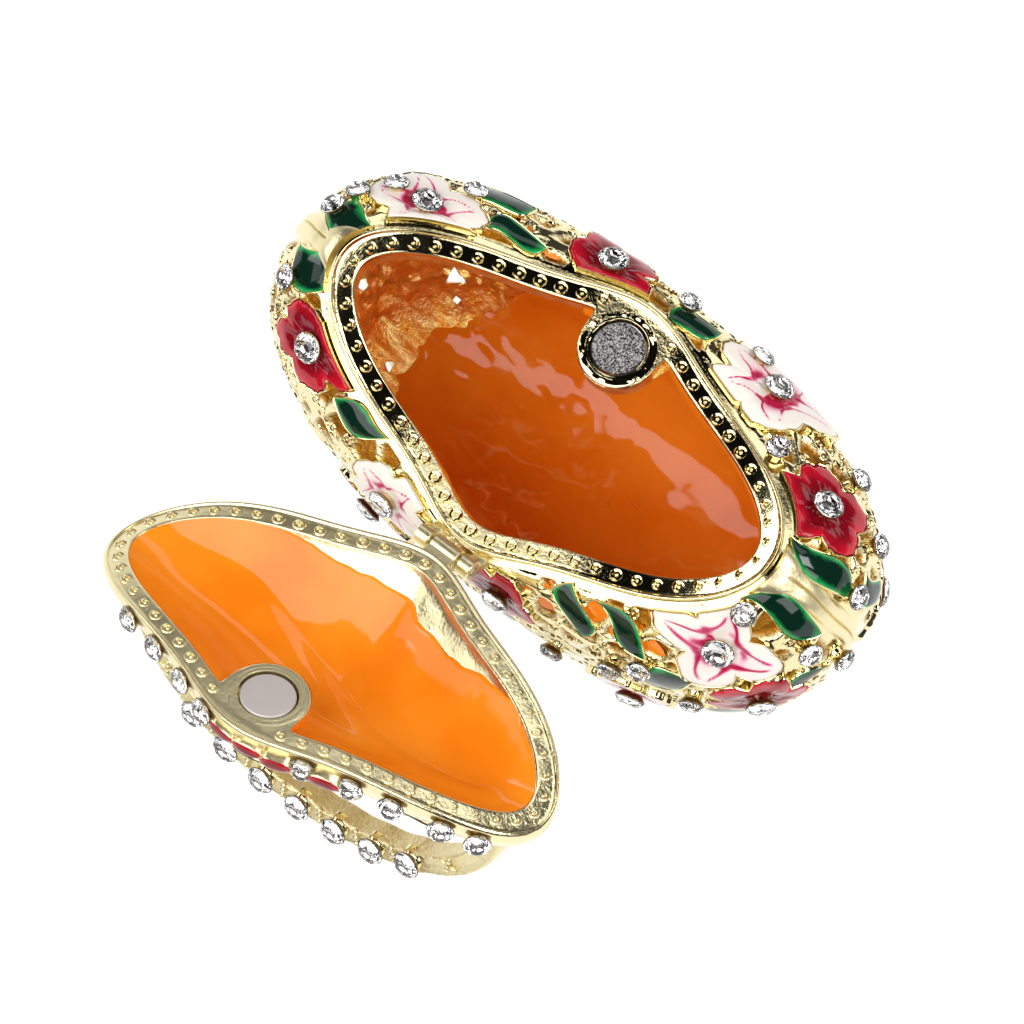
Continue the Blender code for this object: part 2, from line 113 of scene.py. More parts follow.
def merge_seam(piece):
    """Merge the points that meet and turn the faces outwards."""
    deselect()
    bpy.context.view_layer.objects.active = piece
    bpy.ops.object.mode_set(mode="EDIT")
    bpy.ops.mesh.select_all(action="SELECT")
    bpy.ops.mesh.remove_doubles(threshold=SAME_POINT)
    bpy.ops.mesh.normals_make_consistent(inside=False)
    bpy.ops.object.mode_set(mode="OBJECT")


def sheet(name, columns, rows, place, marks=None):
    """A grid whose points go to place(across, up), both from 0 to 1, with its seams merged.

    marks(across, up) gives named numbers for each point, which the materials read.
    """
    deselect()
    bpy.ops.mesh.primitive_grid_add(x_subdivisions=columns, y_subdivisions=rows, size=1)
    piece = added(name)
    flat = points_of(piece)
    across = np.clip(flat[:, 0] + 0.5, 0, 1)
    up = np.clip(flat[:, 1] + 0.5, 0, 1)
    move_points(piece, place(across, up))
    if marks:
        for mark, values in marks(across, up).items():
            layer = piece.data.attributes.new(mark, "FLOAT", "POINT")
            layer.data.foreach_set("value", np.ascontiguousarray(values, dtype=float))
    merge_seam(piece)
    return piece


def join(pieces, name):
    """Join pieces into one object."""
    deselect()
    for piece in pieces:
        piece.select_set(True)
    bpy.context.view_layer.objects.active = pieces[0]
    bpy.ops.object.join()
    return added(name)


def settle(piece, body, finish, smooth=40, replaced=()):
    """Give a finished piece its material, its size in metres, its place and its body."""
    piece.data.transform(Matrix.Scale(MM, 4))
    if body == "lid":
        piece.data.transform(OPENED)
    piece.data.materials.clear()
    piece.data.materials.append(finish)
    deselect()
    piece.select_set(True)
    bpy.context.view_layer.objects.active = piece
    bpy.ops.object.shade_smooth_by_angle(angle=math.radians(smooth))
    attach(piece, body)
    if replaced:
        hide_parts(*replaced)
    return piece


# %% [markdown]
# ## Soft steps and noise
# Cast and poured surfaces are never even.  Soft steps blend one shape into the next, and the
# noise of mathutils gives the same unevenness on each run.

# %% Steps and noise
def smoothstep(low, high, value):
    share = np.clip((value - low) / (high - low), 0, 1)
    return share * share * (3 - 2 * share)


def mix(first, second, share):
    share = np.asarray(share)[..., None]
    return first * (1 - share) + second * share


def bumps(places, size, seed=0.0):
    """Soft noise from -1 to 1 at places in millimetres, with features of about that size."""
    shift = Vector((seed, seed * 0.7, seed * 1.3))
    return np.array([noise.noise(Vector(p) / size + shift) for p in places])


def cells(places, size):
    """How far each place is from the border between Voronoi cells of about that size, from 0."""
    borders = []
    for p in places:
        near = noise.voronoi(Vector(p) / size)[0]
        borders.append(near[1] - near[0])
    return np.array(borders)


# %% [markdown]
# ## Camera
# The camera stands almost over the box and far off, behind a long lens.  The view is then nearly
# flat, and shows the whole inside of the open box.

# %% Camera
CAMERA_PLACE = Vector((136.8, -92.3, 552.3)) * MM
CAMERA_TURN = [math.radians(angle) for angle in (15.8185, 5.9053, 38.9850)]
LENS = 193.36                      # on a 36 mm sensor
scene = bpy.context.scene
camera = bpy.data.objects.new("camera", bpy.data.cameras.new("camera"))
scene.collection.objects.link(camera)
camera.location = CAMERA_PLACE
camera.rotation_euler = CAMERA_TURN
camera.data.lens = LENS
camera.data.clip_start = 0.01
scene.camera = camera
scene.view_settings.view_transform = "Standard"
print("camera", round(CAMERA_PLACE.length, 3), "m off, lens", LENS)

# %% [markdown]
# ## Helpers for the materials
# Each material is one Principled shader.  Noise on Object coordinates varies it, and so do the
# named numbers that the meshes carry, such as how deep a point lies in a pit.

# %% Nodes
def colour(code):
    """Linear colour of an sRGB hex value."""
    parts = [int(code[i:i + 2], 16) / 255 for i in (0, 2, 4)]
    return tuple(((v + 0.055) / 1.055) ** 2.4 if v > 0.04045 else v / 12.92 for v in parts) + (1,)


def node(finish, kind, links=(), **settings):
    """Add a node; settings are properties or input values, links are (input, output socket)."""
    tree = finish.node_tree
    made = tree.nodes.new(kind)
    for name, value in settings.items():
        if hasattr(made, name):
            setattr(made, name, value)
        else:
            made.inputs[name.replace("_", " ")].default_value = value
    for target, source in links:
        tree.links.new(source, made.inputs[target])
    return made


def new_finish(name, base, roughness, metallic=0.0, **plain):
    """A material with its plain values on the Principled shader."""
    finish = bpy.data.materials.new(name)
    finish.use_nodes = True
    shader = finish.node_tree.nodes["Principled BSDF"]
    shader.inputs["Base Color"].default_value = colour(base)
    shader.inputs["Roughness"].default_value = roughness
    shader.inputs["Metallic"].default_value = metallic
    for name, value in plain.items():
        shader.inputs[name.replace("_", " ")].default_value = value
    return finish, shader


def link(finish, source, target):
    finish.node_tree.links.new(source, target)


def blend(finish, share, low, high, start=0.0, end=1.0):
    """A colour that goes from low to high as share goes from start to end."""
    ramp = node(finish, "ShaderNodeValToRGB", [("Fac", share)])
    first, last = ramp.color_ramp.elements
    first.position = start
    first.color = colour(low)
    last.position = end
    last.color = colour(high)
    return ramp.outputs["Color"]


def grain(finish, size, detail=2.0, roughness=0.5):
    """Noise on Object coordinates with features of a size in millimetres."""
    where = node(finish, "ShaderNodeTexCoord")
    return node(finish, "ShaderNodeTexNoise", [("Vector", where.outputs["Object"])],
                Scale=1 / (size * MM), Detail=detail, Roughness=roughness).outputs["Fac"]


def weighted(finish, start, *terms):
    """A number: start plus each socket times its weight."""
    total = None
    for socket, weight in terms:
        step = node(finish, "ShaderNodeMath", [(0, socket)], operation="MULTIPLY_ADD")
        step.inputs[1].default_value = weight
        step.inputs[2].default_value = start
        if total is not None:
            link(finish, total, step.inputs[2])
        total = step.outputs[0]
    return total


def mark(finish, name):
    """A named number that the mesh carries."""
    return node(finish, "ShaderNodeAttribute", attribute_name=name).outputs["Fac"]


def painted(finish, shader, tone):
    link(finish, tone, shader.inputs["Base Color"])


def raised(finish, shader, height, distance):
    """Bump from a height that is worth a distance in millimetres."""
    bump = node(finish, "ShaderNodeBump", [("Height", height)], Distance=distance * MM)
    link(finish, bump.outputs["Normal"], shader.inputs["Normal"])


# %% [markdown]
# ## Floor and light
# The box lies on a white sweep.  Polished plate shows only what it reflects, so the light is a
# ring of large soft panels with darker gaps between them.

# %% Floor and light
FLOOR_SIZE = 3.0
PANEL_AIM = Vector((0, 0, 0.02))   # metres: the middle of the box
deselect()
bpy.ops.mesh.primitive_plane_add(size=FLOOR_SIZE)
floor = added("floor")
white_sweep, shader = new_finish("white_matt_acrylic_sweep", "808080", 0.7)
shader.inputs["Emission Color"].default_value = (1, 1, 1, 1)
shader.inputs["Emission Strength"].default_value = 0.93
floor.data.materials.append(white_sweep)

world = bpy.data.worlds.new("studio")
scene.world = world
world.use_nodes = True
# The sweep glows near the horizon; overhead it is dark, which gives the plate its contrast.
sky = world.node_tree
where = sky.nodes.new("ShaderNodeTexCoord")
parts = sky.nodes.new("ShaderNodeSeparateXYZ")
glow = sky.nodes.new("ShaderNodeMapRange")
sky.links.new(where.outputs["Generated"], parts.inputs[0])
sky.links.new(parts.outputs["Z"], glow.inputs["Value"])
glow.interpolation_type = "SMOOTHSTEP"
for name, value in (("From Min", 0.46), ("From Max", 0.72), ("To Min", 1.05), ("To Max", 0.03)):
    glow.inputs[name].default_value = value
sky.links.new(glow.outputs["Result"], sky.nodes["Background"].inputs["Strength"])

# (name, azimuth, elevation, distance, width, height, radiance): panels that all face the box
PANELS = (
    ("panel_camera", -98, 60, 1.00, 1.30, 0.95, 3.1),
    ("panel_left", 180, 23, 0.85, 0.46, 0.26, 3.6),
    ("panel_right", 4, 35, 0.85, 0.46, 0.36, 3.4),
    ("panel_back", 98, 40, 0.85, 0.75, 0.30, 1.5),
    ("panel_front_left", -151, 29, 0.85, 0.36, 0.26, 1.4),
    ("panel_key", 48, 44, 0.90, 0.36, 0.32, 9.0),
)
for name, azimuth, elevation, distance, width, height, radiance in PANELS:
    lamp = bpy.data.lights.new(name, "AREA")
    lamp.shape = "RECTANGLE"
    lamp.size = width
    lamp.size_y = height
    lamp.energy = radiance * math.pi * width * height
    panel = bpy.data.objects.new(name, lamp)
    turn = math.radians(azimuth)
    rise = math.radians(elevation)
    toward = Vector((math.cos(rise) * math.cos(turn), math.cos(rise) * math.sin(turn), math.sin(rise)))
    panel.location = toward * distance + PANEL_AIM
    panel.rotation_euler = toward.to_track_quat("Z", "Y").to_euler()
    scene.collection.objects.link(panel)
print("panels of light:", len(PANELS))

# %% [markdown]
# ## Gold plate on the castings
# The casting is zinc alloy with a flash of pale gold over nickel.  On the polished parts that
# gives a yellow mirror; in the hollows the cast skin stays granular and rough, and the darker,
# warmer colour given there is painted shade.
# The bare inside is never polished, so it is warm, blotchy and rough.

# %% Gold plate
# The second, darker colour is painted shade, laid deep in the pits of the openwork and under the base
PLATE = "EADCAC"
HOLLOW_SHADE = "B57E2B"
champagne_gold, shader = new_finish("pale_gold_plate_on_cast_zinc", PLATE, 0.10, metallic=1.0)
pit = mark(champagne_gold, "pit")
coarse = mark(champagne_gold, "coarse")
bare = mark(champagne_gold, "bare")
# The plate turns towards the darker colour the deeper a point lies in a pit: painted shade
tone = blend(champagne_gold, pit, PLATE, HOLLOW_SHADE, 0.15, 0.9)
blotches = blend(champagne_gold, grain(champagne_gold, 1.4, detail=4.0), "F2C050", "FFEC98",
                 0.36, 0.62)
warm = node(champagne_gold, "ShaderNodeMix", [(0, bare), (6, tone), (7, blotches)], data_type="RGBA")
painted(champagne_gold, shader, warm.outputs[2])
link(champagne_gold, weighted(champagne_gold, 1.0, (bare, -0.15)), shader.inputs["Metallic"])
rough = weighted(champagne_gold, 0.09, (pit, 0.34), (coarse, 0.20), (bare, 0.05))
link(champagne_gold, rough, shader.inputs["Roughness"])
skin = grain(champagne_gold, 0.5, detail=4.0, roughness=0.6)
depth = weighted(champagne_gold, 0.06, (pit, 1.0), (coarse, 0.6), (bare, 0.40))
height = node(champagne_gold, "ShaderNodeMath", [(0, skin), (1, depth)], operation="MULTIPLY")
raised(champagne_gold, shader, height.outputs[0], 0.35)
print(champagne_gold.name, "with", len(champagne_gold.node_tree.nodes), "nodes")

# %% [markdown]
# ## Polished plate
# The raised lines are buffed after plating: beads, borders, cups and the magnet's setting.  They
# are nearly mirrors, with the faint ripple that a polishing mop leaves.

# %% Polished plate
polished_gold, shader = new_finish("polished_pale_gold_plate", PLATE, 0.09, metallic=1.0)
ripple = grain(polished_gold, 1.6, detail=2.0)
raised(polished_gold, shader, ripple, 0.04)

# %% [markdown]
# ## Satin plate
# The lid, the straps and the hinge are only tumbled, so their plate is paler and softer.  A
# number on the lid says where hands have rubbed it brighter.

# %% Satin plate
satin_gold, shader = new_finish("satin_pale_gold_plate", "E4D5A4", 0.34, metallic=1.0)
hollow = mark(satin_gold, "pit")
# Deeper in the dome's pits the satin plate turns darker and warmer: painted shade
tone = blend(satin_gold, hollow, "ECDFB2", HOLLOW_SHADE, 0.15, 0.9)
painted(satin_gold, shader, tone)
rough = weighted(satin_gold, 0.34, (mark(satin_gold, "polish"), -0.18))
link(satin_gold, rough, shader.inputs["Roughness"])
fog = node(satin_gold, "ShaderNodeMath", [(0, grain(satin_gold, 0.4, detail=3.0))], operation="MULTIPLY")
link(satin_gold, weighted(satin_gold, 0.1, (hollow, 0.9)), fog.inputs[1])
raised(satin_gold, shader, fog.outputs[0], 0.35)

# %% [markdown]
# ## Enamels
# The enamel is a cold-cured resin, dropped in by hand and glossy.  Red and green are thinner and
# brighter where the gold lies near; white has magenta streaks drawn through it while wet; the
# orange of the inside is opaque and a little cloudy.

# %% Enamels
ENAMEL_GLOSS = dict(IOR=1.45)
red_enamel, shader = new_finish("translucent_red_enamel", "A3142C", 0.10, **ENAMEL_GLOSS)
bloom = mark(red_enamel, "bloom")
cloud = grain(red_enamel, 2.2, detail=3.0)
share = node(red_enamel, "ShaderNodeMath", [(0, bloom), (1, cloud)], operation="MULTIPLY")
painted(red_enamel, shader, blend(red_enamel, share.outputs[0], "7C0717", "C4142A", 0.16, 0.60))
raised(red_enamel, shader, grain(red_enamel, 2.6, detail=1.0), 0.28)

green_enamel, shader = new_finish("translucent_green_enamel", "0C4A28", 0.08, **ENAMEL_GLOSS)
bloom = mark(green_enamel, "bloom")
cloud = grain(green_enamel, 2.0, detail=3.0)
share = weighted(green_enamel, -0.1, (bloom, 0.80), (cloud, 0.70))
painted(green_enamel, shader, blend(green_enamel, share, "052418", "25AE5A", 0.36, 0.88))
raised(green_enamel, shader, grain(green_enamel, 3.4, detail=1.0), 0.30)

white_enamel, shader = new_finish("white_enamel_with_magenta_streaks", "F1E3DC", 0.2, **ENAMEL_GLOSS)
streak = mark(white_enamel, "streak")
swirl = grain(white_enamel, 1.4, detail=4.0, roughness=0.6)
push = weighted(white_enamel, -0.18, (swirl, 0.36))
share = node(white_enamel, "ShaderNodeMath", [(0, streak), (1, push)], operation="ADD")
tones = blend(white_enamel, share.outputs[0], "F0E6DC", "B01C42", 0.22, 0.86)
for place, code in ((0.36, "F6DDDC"), (0.52, "EBA7B8"), (0.68, "CF5580")):
    tones.node.color_ramp.elements.new(place).color = colour(code)
painted(white_enamel, shader, tones)
raised(white_enamel, shader, swirl, 0.06)

orange_enamel, shader = new_finish("orange_enamel_lining", "F27C10", 0.08, **ENAMEL_GLOSS)
cloud = grain(orange_enamel, 9.0, detail=2.0)
painted(orange_enamel, shader, blend(orange_enamel, cloud, "EC7C12", "F58D20", 0.35, 0.65))
raised(orange_enamel, shader, grain(orange_enamel, 3.0, detail=2.0), 0.05)

# %% [markdown]
# ## Stones, magnet and disc
# The stones are clear glass over silver foil, which is lacquered behind.  The magnet is sintered,
# so its face is speckled.  The disc that it pulls is plain steel, a little cloudy.

# %% Stones, magnet and disc
clear_glass, shader = new_finish("clear_cut_glass", "FFFFFF", 0.0, IOR=1.58, Transmission_Weight=1.0)
silver_foil, shader = new_finish("silver_foil_behind_stones", "E9E4E2", 0.10, metallic=1.0)
brown_lacquer, shader = new_finish("bronze_lacquer_on_foil", "8F7B5C", 0.28, metallic=0.9)
magnet_face, shader = new_finish("sintered_magnet", "8A8686", 0.42, metallic=0.7)
speckle = grain(magnet_face, 0.15, detail=2.0, roughness=0.6)
painted(magnet_face, shader, blend(magnet_face, speckle, "060507", "BFBABA", 0.43, 0.62))
raised(magnet_face, shader, speckle, 0.12)
satin_steel, shader = new_finish("satin_steel_disc", "CFC6C2", 0.5, metallic=0.6)
cloud = grain(satin_steel, 1.8, detail=3.0)
raised(satin_steel, shader, cloud, 0.05)
print("materials:", [finish.name for finish in bpy.data.materials])

# %% [markdown]
# ## The shape of the castings
# Seen from above, the mouth is an ellipse with a swelling at the magnet and another at the
# hinge.  Its rim climbs towards both tips.  These are the same curves that the working model was
# made from, so that everything laid on them fits it.

# %% Curve of the rim
MOUTH_HALF_LENGTH = 27.0
MOUTH_HALF_WIDTH = 12.3
MOUTH_CENTRE_Y = -1.2
FRONT_SWELL = (2.6, 7.8)           # how far, and over what half width
BACK_SWELL = (3.1, 7.2)
RIM_HEIGHT = 34.0
RIM_RISE = 5.3
RIM_RISE_POWER = 3.2
RIM_BAND = 2.4
LIP_HEIGHT = 1.0
GAP = 0.3                          # between the shut rims
BELLY = (35.0, 17.4)               # half length and half width
BELLY_HEIGHT = 26.5
BELLY_POWER = 2.4
BASE = (23.5, 13.0)
TAPER_POWER = 1.72
SHOULDER_TURN = math.radians(80)
WALL = 1.7
FLOOR = 2.2
CROWN_HEIGHT = 9.5
CROWN_POWER = 2.2
LID_WALL = 1.4
LID_SIDE = (1.1, 3.6)              # where the lid's dome starts: inset and height


def lengths(line):
    """Distance travelled along a line of points, at each of them."""
    return np.concatenate(([0], np.cumsum(np.linalg.norm(np.diff(line, axis=0), axis=1))))


def same_shape(turn, level):
    return np.broadcast_arrays(np.asarray(turn, float), np.asarray(level, float))


def rim_level(x):
    return RIM_HEIGHT + RIM_RISE * np.abs(x / MOUTH_HALF_LENGTH) ** RIM_RISE_POWER


def mouth_edge(turn):
    """Outer edge of the rim, seen from above."""
    x = MOUTH_HALF_LENGTH * np.cos(turn)
    rise = np.sin(turn)
    swell = np.where(rise > 0, FRONT_SWELL[0], BACK_SWELL[0])
    spread = np.where(rise > 0, FRONT_SWELL[1], BACK_SWELL[1])
    bump = swell * np.exp(-(x / spread) ** 2) * np.minimum(1, np.abs(rise) * 4)
    return np.stack((x, MOUTH_CENTRE_Y + MOUTH_HALF_WIDTH * rise + np.sign(rise) * bump), axis=-1)


def rim_point(turn, inset=0.0, lift=0.0):
    """Point on the rim, moved inwards across the band and up from it."""
    step = 0.01
    along = mouth_edge(turn + step) - mouth_edge(turn - step)
    along /= np.linalg.norm(along, axis=-1, keepdims=True)
    inward = np.stack((-along[..., 1], along[..., 0]), axis=-1)
    place = mouth_edge(turn) + np.asarray(inset)[..., None] * inward
    height = rim_level(place[..., 0]) + lift
    return np.concatenate((place, height[..., None]), axis=-1)


def oval(turn, half_length, half_width, power):
    c = np.cos(turn)
    s = np.sin(turn)
    return np.stack((half_length * np.sign(c) * np.abs(c) ** (2 / power),
                     half_width * np.sign(s) * np.abs(s) ** (2 / power)), axis=-1)


# %% [markdown]
# ## The two walls
# The body's wall swells out from the rim to the belly and draws in to the base.  The lid is a
# low dome.  Both are functions of a turn round the box and a level up the wall, so that relief
# is laid on either in the same way.

# %% Body wall and lid dome
def body_point(turn, level):
    """Outer wall of the body: level 0 is the base edge, 0.5 the belly and 1 just under the rim."""
    turn, level = same_shape(turn, level)
    down = np.clip(1 - level / 0.5, 0, 1)
    size = (1 - down ** TAPER_POWER) ** (1 / TAPER_POWER)
    low = oval(turn, BASE[0] + (BELLY[0] - BASE[0]) * size, BASE[1] + (BELLY[1] - BASE[1]) * size,
               BELLY_POWER)
    bend = np.clip(level - 0.5, 0, 0.5) / 0.5 * SHOULDER_TURN
    outward = (np.cos(bend) - math.cos(SHOULDER_TURN)) / (1 - math.cos(SHOULDER_TURN))
    edge = rim_point(turn, 0.0, -LIP_HEIGHT)
    high = mix(edge[..., :2], oval(turn, *BELLY, BELLY_POWER), outward)
    upper = level > 0.5
    place = np.where(upper[..., None], high, low)
    height = np.where(upper, BELLY_HEIGHT + (edge[..., 2] - BELLY_HEIGHT) * np.sin(bend)
                      / math.sin(SHOULDER_TURN), BELLY_HEIGHT * (1 - down))
    return np.concatenate((place, height[..., None]), axis=-1)


def lid_point(turn, reach):
    """Outer face of the lid: reach 0 is the crown and 1 the turn down to its side."""
    turn, reach = same_shape(turn, reach)
    edge = rim_point(turn, LID_SIDE[0], GAP + LID_SIDE[1])
    crown = np.array((0, MOUTH_CENTRE_Y, RIM_HEIGHT + GAP + CROWN_HEIGHT))
    place = crown + (edge - crown) * reach[..., None]
    place[..., 2] = crown[2] + (edge[..., 2] - crown[2]) * reach ** CROWN_POWER
    return place


# %% [markdown]
# ## Laying relief on a wall
# Flowers, leaves and stones are worked out flat, in millimetres along and up the wall, as a
# modeller cuts shapes from sheet wax before pressing them on.  The wall then gives each point's
# place and outward direction.

# %% Places and directions on a wall
class Wall:
    """A wall given by turn and level, with its directions, on which relief is laid.

    Relief stands between the levels lowest and highest.  side is -1 where turn and level run so
    that their cross product points inwards.
    """

    def __init__(self, point, lowest, highest, side):
        self.point = point
        self.lowest = lowest
        self.highest = highest
        self.side = side

    def slopes(self, turn, level):
        step = 0.004
        low = np.maximum(level - step, 0.01)
        high = np.minimum(level + step, 0.99)
        near = np.clip(level, 0.01, 0.99)
        along = (self.point(turn + step, near) - self.point(turn - step, near)) / (2 * step)
        up = (self.point(turn, high) - self.point(turn, low)) / (high - low)[..., None]
        return along, up

    def outward(self, turn, level):
        along, up = self.slopes(turn, level)
        out = np.cross(along, up) * self.side
        return out / np.linalg.norm(out, axis=-1, keepdims=True)

    def room(self, turn, level):
        """Way up the wall from a level to where relief must end, in millimetres."""
        steps = np.linspace(level, self.highest, 80)
        line = self.point(np.full_like(steps, turn), steps)
        return np.linalg.norm(np.diff(line, axis=0), axis=1).sum()

    def spot(self, turn, level, u, v, height):
        """Point u along and v up the wall from (turn, level), and height off it."""
        along = self.slopes(np.array([turn]), np.array([level]))[0]
        new_turn = turn + u / np.linalg.norm(along)
        steps = np.linspace(self.lowest, 1, 240)
        line = self.point(np.full_like(steps, turn), steps)
        travelled = lengths(line)
        new_level = np.interp(np.interp(level, steps, travelled) + v, travelled, steps)
        soft = 0.012
        room = (self.highest - new_level) / soft
        new_level = np.maximum(self.highest - soft * np.logaddexp(0, room), self.lowest)
        out = self.outward(new_turn, new_level)
        return self.point(new_turn, new_level) + out * np.asarray(height)[..., None]


BODY = Wall(body_point, 0.03, 0.985, 1)
LID = Wall(lid_point, 0.02, 0.985, -1)
print("rim from", RIM_HEIGHT, "to", round(float(rim_level(MOUTH_HALF_LENGTH)), 1), "mm high")

# %% [markdown]
# ## The inner edge of the rims
# The flat band of each rim widens into a round boss that holds the magnet or the disc, and the
# corners between them are filleted.  So the inner edge is drawn as one line: the band's own
# edge, a fillet, and the boss's circle.

# %% Inner edge with the boss
BOSS_Y = 8.3
BOSS_RADIUS = 4.2
BOSS_REACH = 7.0                   # the fillets end this far from the middle
BOSS_LEAVE = math.radians(10)      # where the fillet leaves the circle


def edge_turn(x):
    """Turn of the point of the front edge at x."""
    return np.arccos(x / MOUTH_HALF_LENGTH)


def boss_outline(count):
    """Evenly spaced points along the boss, from its right side to its left."""
    circle = np.linspace(-math.pi / 2, BOSS_LEAVE, 60)
    round_part = np.stack((BOSS_RADIUS * np.cos(circle), BOSS_Y + BOSS_RADIUS * np.sin(circle)),
                          axis=-1)
    end = rim_point(edge_turn(np.array([BOSS_REACH])), RIM_BAND)[0, :2]
    past = rim_point(edge_turn(np.array([BOSS_REACH + 0.5])), RIM_BAND)[0, :2]
    heading = np.array((-math.sin(BOSS_LEAVE), math.cos(BOSS_LEAVE)))
    corner = [round_part[-1], round_part[-1] + heading * 1.3, end - (past - end) * 4.0, end]
    share = np.linspace(0, 1, 40)[1:, None]
    weights = ((1 - share) ** 3, 3 * share * (1 - share) ** 2, 3 * share ** 2 * (1 - share), share ** 3)
    fillet = sum(weight * point for weight, point in zip(weights, corner))
    half = np.concatenate((round_part, fillet))
    line = np.concatenate((half[::-1], half[1:] * (-1, 1)))
    travelled = lengths(line)
    wanted = np.linspace(0, travelled[-1], count)
    return np.stack([np.interp(wanted, travelled, line[:, i]) for i in (0, 1)], axis=-1)


BOSS_LINE = boss_outline(201)


def inner_edge(turn):
    """Inner edge of the rim seen from above, at the same turn as its outer edge."""
    place = rim_point(turn, RIM_BAND)[..., :2]
    x = mouth_edge(turn)[..., 0]
    at_boss = (np.abs(x) < BOSS_REACH) & (np.sin(turn) > 0)
    share = np.clip((BOSS_REACH - x) / (2 * BOSS_REACH), 0, 1)
    steps = np.linspace(0, 1, len(BOSS_LINE))
    boss = np.stack([np.interp(share, steps, BOSS_LINE[:, i]) for i in (0, 1)], axis=-1)
    return np.where(at_boss[..., None], boss, place)


def band_point(turn, from_outside, share, lift):
    """Point on a rim: a distance in from the outer edge, then a share of the rest of the way."""
    outer = rim_point(turn, from_outside)[..., :2]
    place = mix(outer, inner_edge(turn), share)
    return np.concatenate((place, (rim_level(place[..., 0]) + lift)[..., None]), axis=-1)


def even_turns(share):
    """Turns round the casting, closer together at the long sides and closest at the boss."""
    steps = np.linspace(0, math.tau, 2001)
    density = 1 + 0.3 * np.sin(steps) ** 2 + 1.2 * np.exp(-((steps - math.pi / 2) / 0.3) ** 2)
    travelled = np.concatenate(([0], np.cumsum((density[1:] + density[:-1]) / 2)))
    return np.interp(share, travelled / travelled[-1], steps)


print("boss outline starts and ends at", BOSS_LINE[0].round(2), BOSS_LINE[-1].round(2))

# %% [markdown]
# ## Skins lofted from rings
# Castings and linings are skins through rings of points, which is how a mould maker would section
# them.  Between the flowers the real wall is openwork, with strands round sunken, granular cells.
# Voronoi cells give such a net: the wall is pressed in where a point is far from a cell's border.

# %% Lofting and openwork
NET_CELL = 3.4                     # size of the cells of the openwork
BODY_NET_DEPTH = 0.55
LID_NET_DEPTH = 0.5


def row_at(share, count):
    """Which of a number of rows lies a share of the way along them."""
    return np.rint(share * (count - 1)).astype(int)


def loft(name, rings, marks=None):
    """Skin rings of points; marks are named numbers with one value for each point."""
    table = np.array(rings)
    rows, columns = table.shape[:2]

    def pick(values, across, up):
        return values[row_at(up, rows), row_at(across, columns)]

    def named(across, up):
        return {mark: pick(np.array(values), across, up) for mark, values in marks.items()}

    return sheet(name, columns - 1, rows - 1, lambda across, up: pick(table, across, up),
                 named if marks else None)


def netted(wall, turns, levels, deep, share):
    """Rings of a wall pressed into openwork, and how deep each point lies, from 0 to 1."""
    turn, level = np.meshgrid(turns, levels)
    places = wall.point(turn, level)
    flat = places.reshape(-1, 3)
    drift = np.stack([bumps(flat, 1.6, seed=s) for s in (41.0, 43.0, 47.0)], axis=-1) * 0.35
    pits = smoothstep(0.13, 0.30, cells(flat + drift, NET_CELL)).reshape(turn.shape)
    pits = pits * share(turn, level)
    grainy = bumps(flat, 1.0, seed=3.0) * 0.14 + bumps(flat, 0.55, seed=4.0) * 0.09
    grainy = grainy.reshape(turn.shape)
    height = 0.22 * (1 - pits) - deep * pits + grainy * (0.35 + 0.9 * pits)
    height *= share(turn, level)
    return places + wall.outward(turn, level) * height[..., None], pits


# %% [markdown]
# ## The rims
# Both rims have one section: a rounded lip at the outer edge, then a flat band a little lower.
# The band's cast face is left rough towards the hinge, where no polishing wheel reaches.

# %% Section of the rims
BAND_START = 0.46                  # where the band begins, in from the outer edge
BAND_DROP = 0.25                   # how far the band lies below the lip's crest
# (distance in from the outer edge, share of the rest of the band, height below the lip's crest)
LIP = ((0.0, 0.0, 0.75), (-0.08, 0.0, 0.5), (-0.08, 0.0, 0.26), (0.0, 0.0, 0.07), (0.10, 0.0, 0.0),
       (0.24, 0.0, 0.0), (0.33, 0.0, 0.07), (0.38, 0.0, 0.2), (BAND_START, 0.0, BAND_DROP))
BAND = tuple((BAND_START, share, BAND_DROP) for share in (0.15, 0.35, 0.55, 0.75, 0.88)) + (
    (BAND_START, 0.94, 0.28), (BAND_START, 0.98, 0.36), (BAND_START, 1.0, 0.50))


def rim_rings(turns, up, start):
    """Rings of a rim from its outer edge to its inner one; up is 1 on the body, -1 on the lid."""
    rough = smoothstep(16, 6, np.abs(rim_point(turns)[:, 0])) * (np.sin(turns) < 0)
    rings = []
    for distance, share, below in LIP + BAND:
        ring = band_point(turns, distance, share, start - up * below)
        cast = bumps(ring, 1.3, seed=9.0) * 0.16 + bumps(ring, 0.6, seed=2.0) * 0.08
        ring[:, 2] -= up * (share > 0) * (rough * np.abs(cast) + bumps(ring, 2.2, seed=8.0) * 0.06)
        rings.append(ring)
    return rings


# %% [markdown]
# ## The outside of the body
# The body is one skin: underside, wall, rim, mouth, inner wall and floor.  This is its outer half.
# The wall is openwork between the base, the rim and the straps at the tips.

# %% Outside of the body
COLUMNS = 376
WALL_ROWS = 145
turns = even_turns(np.linspace(0, 1, COLUMNS + 1))
levels = np.linspace(0, 1, WALL_ROWS + 1)


def open_share(turn, level):
    """Where the wall is openwork: not at the base, on the end straps or at the rim."""
    from_tip = np.abs(np.sin(turn)) * 30      # about millimetres along the wall
    strap = smoothstep(2.6, 3.6, from_tip)
    return smoothstep(0.05, 0.16, level) * (1 - smoothstep(0.93, 0.97, level)) * strap


wall_rings, wall_pits = netted(BODY, turns, levels, BODY_NET_DEPTH, open_share)
base_ring = wall_rings[0]
underside = [base_ring * (share, share, 1) for share in (0.0, 0.3, 0.6, 0.85, 0.97)]
mouth = [band_point(turns, BAND_START, 1.0, -below) for below in (0.9, 1.6, 2.3)]
print("openwork:", round(float((wall_pits > 0.5).mean()) * 100), "percent of the wall is sunken")

# %% [markdown]
# ## The inside of the body
# The inner wall follows the outer one at the wall's thickness, and its foot runs out into the
# floor.  Where no enamel covers it, the cast metal shows, crumpled and granular.

